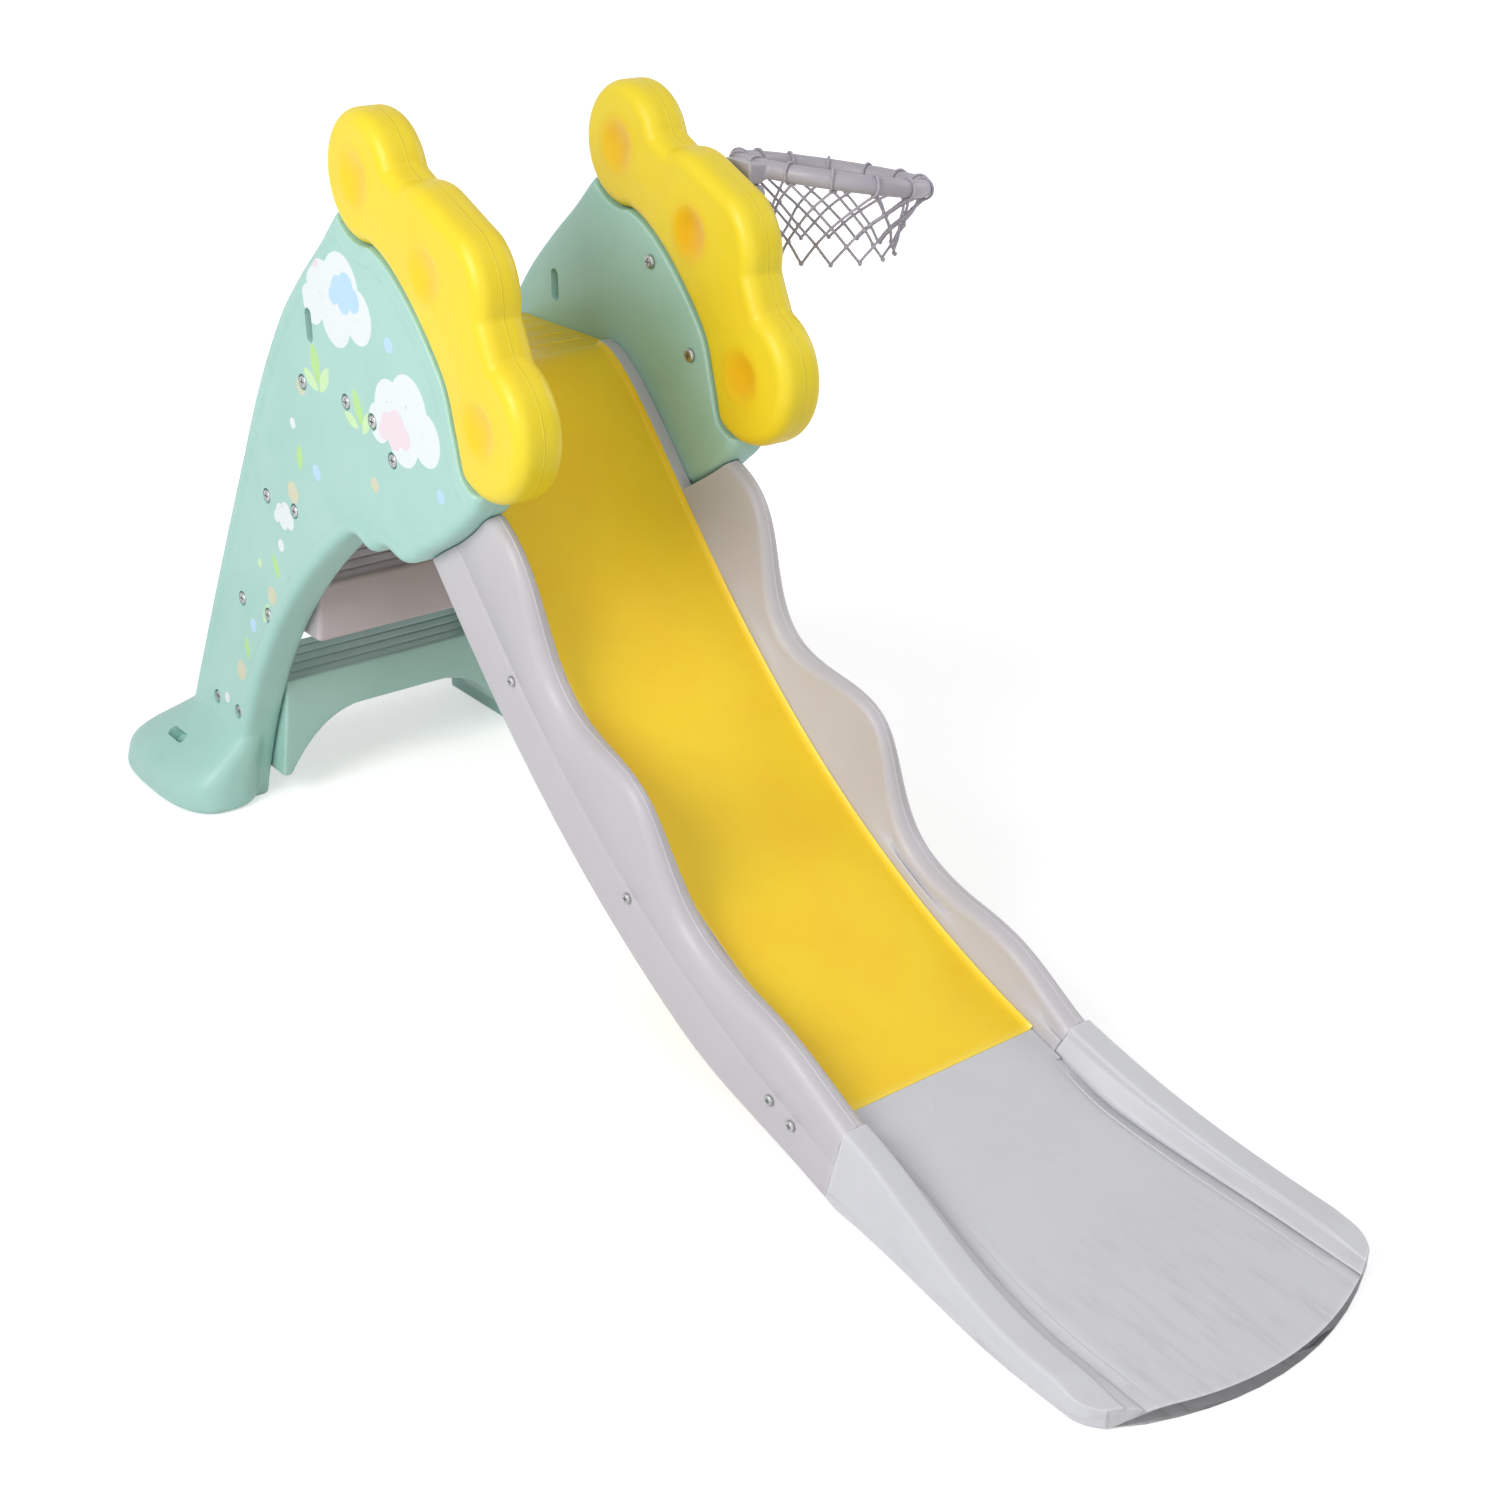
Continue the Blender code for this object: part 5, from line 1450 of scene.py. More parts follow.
@dataclass
class HandGuard:
    """Yellow hand guard with soft lobes and a dimple in each of them, and painted shade in and round the
    dimples.
    """

    side: Side
    edge: float = 0.018
    flat_from: float = 0.36  # share of the thickness
    flat_over: float = 0.12  # share of the thickness
    dimple_radius: float = 0.031
    dimple_depth: float = 0.0062
    dimple_power: float = 1.6
    dome: float = 0.0012
    dome_over: float = 0.03
    # Reach and outer-face strength of the painted shade round each dimple
    shade_reach: float = 1.45  # in radii of the dimple
    outer_shade: float = 0.45
    voxel: float = 2.3 * MM
    softening: int = 5

    def build(self) -> Piece:
        """Model the guard.

        Returns:
            The guard.
        """
        name = "guard_" + self.side.tag
        sign = self.side.value
        shape = GuardShape()
        piece = Bench.slab(name + "_body", shape.outline, sign * UP.panel_middle, UP.guard_thickness,
                           self.edge, self.voxel)
        Bench.remesh(piece, self.voxel, self.softening)
        places = Bench.read(piece)
        across = places[:, 0] - sign * UP.panel_middle
        flat = ramp(np.abs(across), UP.guard_thickness * self.flat_from, UP.guard_thickness * self.flat_over)
        lift = self.dome * ramp(reach_to(places[:, 1:], shape.outline), self.edge, self.dome_over)
        # Painted shade: a mask of darker colour in and round each dimple
        hollow = np.zeros(len(places))
        for number, (y, z) in enumerate(shape.centres):
            away = np.hypot(places[:, 1] - y, places[:, 2] - z) / self.dimple_radius
            bowl = np.clip(1 - away ** 2, 0.0, 1.0) ** self.dimple_power
            dimple_shade = np.clip(self.shade_reach - away, 0.0, 1.0) * flat
            if self.side is Side.RIGHT and number == 1:  # the hoop's socket stands here, on the outer face
                bowl, dimple_shade = (np.where(across > 0, 0.0, values) for values in (bowl, dimple_shade))
            lift -= self.dimple_depth * bowl
            hollow = np.maximum(hollow, dimple_shade)
        places[:, 0] += np.sign(across) * lift * flat
        Bench.move(piece, places)
        # The painted shade is stored as the hollow attribute, weaker on the outer face
        faded = np.where(across * sign > 0, self.outer_shade, 1.0)
        Bench.store(piece, "hollow", ease(hollow) * faded)
        Bench.store(piece, "rim", 1.0 - flat)
        return Bench.hand_over(piece, YELLOW_GUARD.build(), Body.SLIDE, Slot.YELLOW, [name], SOFT_FORM)


@dataclass
class SidePanel:
    """Mint side panel with its leaning leg, spread foot, grip slot and screw pockets."""

    side: Side
    edge: float = 0.012
    recess: float = 0.0024
    recess_low: float = 0.14
    border: float = 0.019
    print_low: float = 0.10
    print_border: float = 0.012
    seam_gap: float = 0.0006
    voxel: float = 2.8 * MM
    softening: int = 5
    foot_top: float = 0.125
    foot_rim: float = 0.030
    foot_spread: float = 0.080
    foot_heel: float = 0.070
    foot_toe: float = 0.008
    foot_inset: float = 0.003
    foot_sides: int = 64
    foot_roundness: float = 0.75
    sole_round: float = 0.008
    grip_offset: Pair = (-0.072, 0.047)
    grip_half: float = 0.012
    grip_radius: float = 0.008
    slot_offset: Triple = (0.046, 0.115, 0.082)
    slot_half: float = 0.0155
    slot_radius: float = 0.0075
    slot_depth: float = 0.060
    slot_lean: float = math.radians(50)
    pocket_radius: float = 0.0099
    pocket_depth: float = 0.007
    cutter: float = 0.04

    def build(self) -> Piece:
        """Model the panel.

        Returns:
            The panel.
        """
        sign = self.side.value
        name = "side_panel_" + self.side.tag
        outline = PanelShape().outline
        seam = grow(GuardShape().outline, self.seam_gap)
        middle, thick = sign * UP.panel_middle, UP.panel_thickness
        piece = Bench.slab(name + "_body", outline, middle, thick, self.edge, self.voxel * 1.2)
        Bench.slice_below(piece, 0.0)
        Bench.combine(piece, self.foot(), Combine.JOIN)
        Bench.combine(piece, Bench.plate("room", seam, middle, thick * 1.5), Combine.CUT)
        Bench.remesh(piece, self.voxel, self.softening)
        Bench.combine(piece, self.holes(), Combine.CUT)
        places = Bench.read(piece)
        outwards = (places[:, 0] - middle) * sign
        facing = Bench.read(piece, "normal")[:, 0] * sign
        inset = np.minimum(reach_to(places[:, 1:], outline), reach_to(places[:, 1:], seam))
        outer_face = ramp(outwards, thick * 0.38, thick * 0.08)
        sunk = self.recess * ramp(inset, self.border, 0.005) * ramp(places[:, 2], self.recess_low, 0.05)
        places[:, 0] -= sign * sunk * outer_face
        places[:, 0] += sign * UP.flare(places[:, 2])
        places[:, 2] = np.maximum(places[:, 2], 0.0)
        Bench.move(piece, places)
        Bench.store(piece, "print_area", outer_face * ramp(facing, 0.6, 0.3)
                    * ramp(inset, self.print_border, MM) * ramp(places[:, 2], self.print_low, 0.01))
        rim = 1.0 - ramp(np.abs(outwards), thick * 0.25, thick * 0.1)
        Bench.store(piece, "rim", rim * ramp(places[:, 2], UP.flare_top, 0.02))
        return Bench.hand_over(piece, MINT_PANEL.build(), Body.SLIDE, Slot.MINT, [name], SOFT_FORM)

    def foot(self) -> Piece:
        """Rounded shoe that reaches out and back, before the leg leans."""
        return Bench.sweep("foot", self.foot_sides, 22, self.foot_point)

    def foot_point(self, index: int, share: float) -> Triple:
        """Place of one point of the shoe.

        Args:
            index: Its number round the shoe.
            share: Share of the way up.

        Returns:
            The place.
        """
        height = self.foot_top * share ** 1.5
        reach = ease((self.foot_top - height) / (self.foot_top - self.foot_rim))
        trim = self.sole_round * (1 - min(1.0, height / self.sole_round)) ** 2
        inner = UP.inner_half + self.foot_inset + trim
        outer = UP.panel_outer - self.foot_inset + self.foot_spread * reach - trim
        front = UP.foot_front - self.foot_toe * reach + trim
        rear = UP.rear_at(height) - self.foot_inset + self.foot_heel * reach - trim
        angle = 2 * math.pi * index / self.foot_sides
        across = squared_off(math.cos(angle), self.foot_roundness)
        along = squared_off(math.sin(angle), self.foot_roundness)
        return (self.side.value * ((inner + outer) / 2 + (outer - inner) / 2 * across),
                (front + rear) / 2 + (rear - front) / 2 * along, height)

    def holes(self) -> Piece:
        """Grip slot, foot slot and the pockets of the screw heads.

        Returns:
            All of them as one cutter.
        """
        sign = self.side.value
        y, z = UP.deck_rear + self.grip_offset[0], UP.deck_z + self.grip_offset[1]
        grip = arc((y, z + self.grip_half), self.grip_radius, 0, 180, 10)
        grip += arc((y, z - self.grip_half), self.grip_radius, 180, 360, 10)
        long_hole = arc((self.slot_half, 0.0), self.slot_radius, -90, 90, 8)
        long_hole += arc((-self.slot_half, 0.0), self.slot_radius, 90, 270, 8)
        slot = Bench.plate("slot", long_hole, 0.0, self.slot_depth)
        out, back, up = self.slot_offset
        slot.data.transform(Matrix.Translation((sign * (UP.panel_outer + out), UP.foot_front + back, up))
                            @ Matrix.Rotation(-sign * self.slot_lean, 4, "Y"))
        tools = [Bench.plate("grip", grip, sign * UP.panel_middle, UP.panel_thickness * 1.4), slot]
        x = sign * (UP.panel_outer - self.pocket_depth + self.cutter / 2)
        for node in sorted(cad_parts):
            if "_screw_" + self.side.tag not in node or node.startswith(("rail", "guard")):
                continue
            low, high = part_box(node)
            Bench.clear()
            bpy.ops.mesh.primitive_cylinder_add(
                vertices=32, radius=self.pocket_radius, depth=self.cutter, rotation=(0.0, math.pi / 2, 0.0),
                location=(x, (low.y + high.y) / 2, (low.z + high.z) / 2))
            Bench.settle()
            tools.append(Bench.named("pocket"))
        return Bench.gather(tools, "holes")


@dataclass
class Chute:
    """Yellow bed between two wavy rails."""

    bed_half: float = 0.1235
    plate: float = 0.012
    flange_drop: float = 0.045
    flange_wall: float = 0.008
    cove_rise: float = 0.005
    cove_width: float = 4 * MM
    rib_stations: tuple[float, ...] = (0.180, 0.320, 0.460, 0.600, 0.740)
    rib_half: float = 4 * MM
    rib_bite: float = 3 * MM
    rib_drop: float = 0.034
    cuts: int = 150
    rail_thickness: float = 0.042
    rail_tail: float = 0.035
    rail_stop: float = 0.174
    rail_corner: float = 0.007
    lean_inner: float = 0.27
    lean_outer: float = 0.05
    low_rise: float = 0.036
    more_rise: float = 0.027
    low_swing: float = 0.011
    more_swing: float = 0.015
    wave_start: float = 0.150
    wave_growth: float = 0.240
    wave_crest: float = 0.390
    wave_pitch: float = 0.310
    low_drop: float = 0.068
    more_drop: float = 0.017
    drop_growth: float = 0.200
    crown_turns: tuple[int, ...] = (0, 15, 30, 45, 60, 72, 82)
    crown_share: float = 0.6
    ridge: tuple[Pair, ...] = ((1.1 * MM, 0.0), (0.6 * MM, 0.5 * MM))
    groove: tuple[Pair, ...] = ((0.0, -0.020), (0.9 * MM, -0.0182), (0.9 * MM, -0.0158), (0.0, -0.014))
    lip_height: float = 0.014
    ear_span: Pair = (0.334, 2 * MM)

    @property
    def rail_inner(self) -> float:
        """Inner face of a rail, beside the bed."""
        return self.bed_half + GAP

    @property
    def rail_outer(self) -> float:
        """Outer face of a rail at the bed's level."""
        return self.rail_inner + self.rail_thickness

    def rise(self, station: float) -> float:
        """Height of the wavy rail top over the bed.

        Args:
            station: Where it is taken.

        Returns:
            The height.
        """
        grown = ramp(station, self.wave_start, self.wave_growth)
        swing = self.low_swing + self.more_swing * grown
        wave = math.cos(2 * math.pi * (station - self.wave_crest) / self.wave_pitch)
        return self.low_rise + self.more_rise * grown + swing * wave

    def drop(self, station: float) -> float:
        """Depth of a rail's lower edge under the bed."""
        return self.low_drop + self.more_drop * ease(station / self.drop_growth)

    def bed(self) -> Piece:
        """Bed with coved edges, side flanges and cross ribs below.

        Returns:
            The bed.
        """
        half, inner, deep = self.bed_half, self.bed_half - self.flange_wall, self.flange_drop
        right = [(half, self.cove_rise, 0.7 * MM), (half, -deep, 2 * MM), (inner, -deep, 2 * MM),
                 (inner, -self.plate, 4 * MM)]
        left = [(-x, height, radius) for x, height, radius in reversed(right)]
        cove = half - self.cove_width
        section = rounded((*right, *left, (-cove, 0.0, 5 * MM), (cove, 0.0, 5 * MM)), 5)
        piece = along_line("bed_body", (0.0, LINE.length), self.cuts, lambda station: section)
        Bench.round_edges(piece, 1.2 * MM, 3, 60.0)
        Bench.tidy(piece)
        wide = inner + self.rib_bite
        for station in self.rib_stations:
            middle, way = LINE.frame(station)
            rib = Bench.block("rib", (-wide, -self.rib_half, -self.rib_drop),
                              (wide, self.rib_half, -self.plate + self.rib_bite), 1.5 * MM)
            rib.data.transform(Matrix.Translation((0.0, middle.x, middle.y))
                               @ Matrix.Rotation(math.atan2(way.y, way.x), 4, "X"))
            Bench.combine(piece, rib, Combine.JOIN)
        return Bench.hand_over(piece, YELLOW_BED.build(), Body.SLIDE, Slot.YELLOW, ["chute_bed"])

    def rail_section(self, station: float) -> list[Pair]:
        """Section of a rail, with a groove outside, a parting ridge on top and a lip inside.

        Args:
            station: Where it is cut.

        Returns:
            Outline as (x, height).
        """
        rise, drop = self.rise(station), self.drop(station)
        inner, outer = self.rail_inner, self.rail_outer
        inner_top, outer_top = inner + self.lean_inner * rise, outer + self.lean_outer * rise
        middle, half = (inner_top + outer_top) / 2, (outer_top - inner_top) / 2
        tall = min(half, rise * self.crown_share)
        top = [(middle + half * math.cos(turn), rise - tall + tall * math.sin(turn))
               for turn in np.radians(self.crown_turns)]
        top += [(middle + x, rise + height) for x, height in self.ridge]
        top += [(2 * middle - x, height) for x, height in reversed(top)]
        groove = [(outer - depth, level) for depth, level in self.groove]
        below = rounded(((inner, -drop, self.rail_corner), (outer, -drop, self.rail_corner),
                         (outer, -0.03, 0.0)), 5)
        lip = bezier(((inner, 0.0), (inner, self.lip_height / 2),
                      (inner + self.lean_inner * self.lip_height, self.lip_height)), 4)
        return below + groove + top + [(x, min(height, rise * 0.5)) for x, height in reversed(lip)]

    def rail(self, side: Side) -> Piece:
        """Wavy rail with a flat ear inside the panel.

        Args:
            side: Side of the slide.

        Returns:
            The rail.
        """
        sign = side.value
        piece = along_line("rail_" + side.tag + "_body", (-self.rail_tail, LINE.length - self.rail_stop),
                           self.cuts, self.rail_section, sign)
        Bench.round_edges(piece, 1.5 * MM, 3, 62.0)
        room = Bench.plate("room", grow(PanelShape().outline, 1.5 * MM), sign * UP.panel_middle,
                           2 * (UP.panel_middle - self.rail_inner + 2 * MM))
        Bench.combine(piece, room, Combine.CUT)
        inner, outer = self.rail_inner, UP.inner_half - GAP
        section = rounded([(x, height, 1.2 * MM) for x, height in (
            (inner, -self.flange_drop), (outer, -self.flange_drop), (outer, self.cove_rise),
            (inner, self.cove_rise))], 3)
        low, high = (LINE.length - short for short in self.ear_span)
        ear = along_line("ear", (low, high), 60, lambda station: section, sign)
        Bench.combine(piece, ear, Combine.JOIN)
        return Bench.hand_over(piece, LILAC_RAIL.build(), Body.SLIDE, Slot.LILAC, ["chute_rail_" + side.tag])


@dataclass
class RunOut:
    """Pale tray at the chute's foot, with rolled lips and a bowed end."""

    chute: Chute
    half: float = 0.190
    widening: float = 1.25
    bulge: float = 0.055
    drop: float = 0.068
    lip_end: float = 0.013
    lip_fall: float = 0.55
    lip_fall_from: float = 0.86
    lip_width: float = 0.030
    lip_slope: float = 0.020
    slope_start: float = 0.58
    edge: float = 0.006
    groove: float = 0.0006
    groove_at: float = 0.93
    floor_share: float = 0.86
    corner: float = 0.024
    cuts: int = 90
    neck_drop: float = 0.052
    tongue_drop: float = 0.050
    tongue_length: float = 0.095

    def half_at(self, share: float) -> float:
        """Half width of the tray at a share of its length, before its corners are rounded."""
        return self.chute.rail_outer + (self.half - self.chute.rail_outer) * ease(share * self.widening)

    def section(self, share: float, station: float) -> list[Pair]:
        """Section of the tray.

        Args:
            share: Share of its length.
            station: Place of the section on the chute's line.

        Returns:
            Outline as (x, height).
        """
        spot, way = LINE.frame(station)
        half = self.half_at(share)
        first = self.chute.rise(-self.chute.rail_tail)
        lip = first + (self.lip_end - first) * ease(share * self.widening)
        lip *= 1.0 - self.lip_fall * ease((share - self.lip_fall_from) / (1 - self.lip_fall_from))
        drop = min(self.drop, spot.y / way.x)
        inner = half - self.lip_width
        slope = self.lip_slope * (self.slope_start + (1 - self.slope_start) * ease(share / 0.25))
        floor = inner - slope
        rim = min(self.edge, lip * 0.45)
        turn = max(0.0, 1 - (1 - share) * LINE.tray_length / self.corner)
        half -= self.corner * (1 - math.sqrt(1 - (0.94 * turn) ** 2))
        right = rounded(((half, -drop, self.edge), (half, lip, rim), (inner, lip, rim * 0.9),
                         (inner - 1.5 * MM, lip * 0.62, 2 * MM), (floor, 0.0, slope * 0.45)), 6)
        deep = self.groove * ease(share / 0.15) * ease((1 - share) / 0.08)
        right += [(floor * self.groove_at - step * MM, -level)
                  for step, level in ((0.0, 0.0), (1.0, deep), (2.5, deep), (3.5, 0.0))]
        across = [floor * self.floor_share * (1 - 2 * step / 16) for step in range(17)]
        under = [(half - self.edge) * (-1 + 2 * step / 12) for step in range(1, 12)]
        left = [(-x, height) for x, height in reversed(right)]
        return right + [(x, 0.0) for x in across] + left + [(x, -drop) for x in under]

    def bar(self, name: str, half: float, levels: Pair, span: Pair, cuts: int) -> Piece:
        """Plain bar along the chute's line.

        Args:
            name: Name of the bar.
            half: Half its width.
            levels: Its lower and upper face.
            span: First and last station.
            cuts: Cuts between them.

        Returns:
            The bar.
        """
        low, high = levels
        corners = ((half, low), (half, high), (-half, high), (-half, low))
        return along_line(name, span, cuts, lambda station: corners)

    def build(self) -> Piece:
        """Model the tray with its neck and its tongue under the bed.

        Returns:
            The tray.
        """
        tail = -self.chute.rail_tail
        start, end = tail - GAP, -LINE.tray_length
        section = cache(self.section)

        def rule(index: int, share: float) -> Triple:
            """Place of one point.

            Args:
                index: Its number in the section.
                share: Share of the length.

            Returns:
                The place.
            """
            station = start + (end - start) * share
            x, height = section(share, station)[index]
            spot, way = LINE.frame(station)
            bulge = self.bulge * max(0.0, 1 - (x / self.half_at(share)) ** 2) * share ** 2
            return (x, spot.x - way.y * height - bulge, max(0.0, spot.y + way.x * height))

        piece = Bench.sweep("run_out_body", len(section(0.0, start)), self.cuts, rule)
        Bench.round_edges(piece, 2.5 * MM, 3, 62.0)
        neck = self.bar("neck", self.chute.bed_half - GAP, (-self.neck_drop, 0.0), (tail - 0.010, -GAP), 8)
        Bench.combine(piece, neck, Combine.JOIN)
        tongue = self.bar("tongue", self.chute.bed_half - self.chute.flange_wall - GAP,
                          (-self.tongue_drop, -self.chute.plate - GAP), (tail / 2, self.tongue_length), 10)
        Bench.combine(piece, tongue, Combine.JOIN)
        return Bench.hand_over(piece, PALE_RUN_OUT.build(), Body.SLIDE, Slot.GREY, ["run_out"])


@dataclass
class Ladder:
    """Deck, two hollow treads and the arched base beam between the legs."""

    base_z: float = 0.170
    base_low: float = 0.034
    base_depth: float = 0.128
    base_voxel: float = 2.4 * MM
    arch_side: float = 0.012
    arch_half: float = 0.122
    arch_flat: float = 0.058
    arch_top: float = 0.112
    tread_depth: float = 0.150
    tread_height: float = 0.078
    deck_height: float = 0.046
    wall: float = 0.007
    rear_inset: float = 0.026
    rib_height: float = 0.0015
    rib_width: float = 0.006
    rib_edge: float = 1.1 * MM
    rib_count: int = 4
    rib_side: float = 0.018

    @property
    def rise(self) -> float:
        """Height from one tread to the next."""
        return (UP.deck_z - self.base_z) / 3

    def span(self, top: float, depth: float) -> Pair:
        """Y span of a tread."""
        rear = UP.rear_at(top) - self.rear_inset
        return (rear - depth, rear)

    def add_ribs(self, piece: Piece, half: float, span: Pair, top: float) -> None:
        """Add the raised anti-slip ribs of a tread.

        Args:
            piece: The tread.
            half: Half its width.
            span: Its Y span.
            top: Its level.
        """
        pitch = (span[1] - span[0]) / (self.rib_count + 1)
        wide = half - self.rib_side
        for number in range(1, self.rib_count + 1):
            middle = span[0] + pitch * number
            rib = Bench.block("rib", (-wide, middle - self.rib_width / 2, top - 2 * self.rib_height),
                              (wide, middle + self.rib_width / 2, top + self.rib_height), self.rib_edge)
            Bench.combine(piece, rib, Combine.JOIN)

    def hollow(self, piece: Piece, half: float, span: Pair, levels: Pair, bays: int) -> None:
        """Open the bays under a tread, with webs between them.

        Args:
            piece: The tread.
            half: Half its width.
            span: Its Y span.
            levels: Its lower and upper face.
            bays: Number of bays.
        """
        low, top = levels
        width = (2 * half - self.wall * (bays + 1)) / bays
        for bay in range(bays):
            left = -half + self.wall + bay * (width + self.wall)
            room = Bench.block("bay", (left, span[0] + self.wall, low - 0.02),
                               (left + width, span[1] - self.wall, top - self.wall), 4 * MM)
            Bench.combine(piece, room, Combine.CUT)

    def tread(self, name: str, top: float) -> Piece:
        """Tread with a deep skirt, hollow below, between the leaning legs.

        Args:
            name: CAD node that it stands for.
            top: Its level.

        Returns:
            The tread.
        """
        span = self.span(top, self.tread_depth)
        low = top - self.tread_height
        half = UP.inner_half - GAP
        piece = Bench.block(name + "_body", (-half, span[0], low), (half, span[1], top), 7 * MM, 5)
        self.add_ribs(piece, half, span, top)
        self.hollow(piece, half - self.wall, span, (low, top), 2)
        places = Bench.read(piece)
        places[:, 0] *= (half + UP.flare(places[:, 2])) / half
        Bench.move(piece, places)
        return Bench.hand_over(piece, LILAC_STEP.build(), Body.SLIDE, Slot.LILAC, [name], CUT_FORM)

    def base(self) -> Piece:
        """Base beam with an arched lower edge.

        Returns:
            The beam.
        """
        span = self.span(self.base_z, self.base_depth)
        low = self.base_low
        heights = [low + (self.base_z - low) * step / 12 for step in range(13)]
        right = [(UP.inner_half - GAP + float(UP.flare(height)), height) for height in heights]
        arch = bezier(((-right[0][0] + self.arch_side, low), (-self.arch_half, self.arch_top),
                       (-self.arch_flat, self.arch_top)), 18)
        outline = right + [(-x, z) for x, z in reversed(right)] + arch + [(-x, z) for x, z in reversed(arch)]
        piece = Bench.plate("step_base_body", outline, (span[0] + span[1]) / 2, span[1] - span[0], Across.Y)
        Bench.remesh(piece, self.base_voxel, 8)
        self.add_ribs(piece, UP.inner_half + float(UP.flare(self.base_z)), span, self.base_z)
        return Bench.hand_over(piece, MINT_STEP.build(), Body.SLIDE, Slot.MINT, ["step_base"], CUT_FORM)

    def deck(self) -> Piece:
        """Floor at the top of the ladder.

        Returns:
            The deck.
        """
        half = UP.inner_half - GAP
        low = UP.deck_z - self.deck_height
        span = (UP.deck_front + GAP, UP.deck_rear)
        piece = Bench.block("deck_body", (-half, span[0], low), (half, span[1], UP.deck_z), 2.5 * MM, 4)
        self.add_ribs(piece, half, span, UP.deck_z)
        self.hollow(piece, half - self.wall, span, (low, UP.deck_z), 3)
        return Bench.hand_over(piece, YELLOW_BED.build(), Body.SLIDE, Slot.YELLOW, ["deck"], CUT_FORM)

    def build(self) -> None:
        """Model the deck and the treads."""
        self.deck()
        self.tread("step_upper", UP.deck_z - self.rise)
        self.tread("step_middle", UP.deck_z - 2 * self.rise)
        self.base()


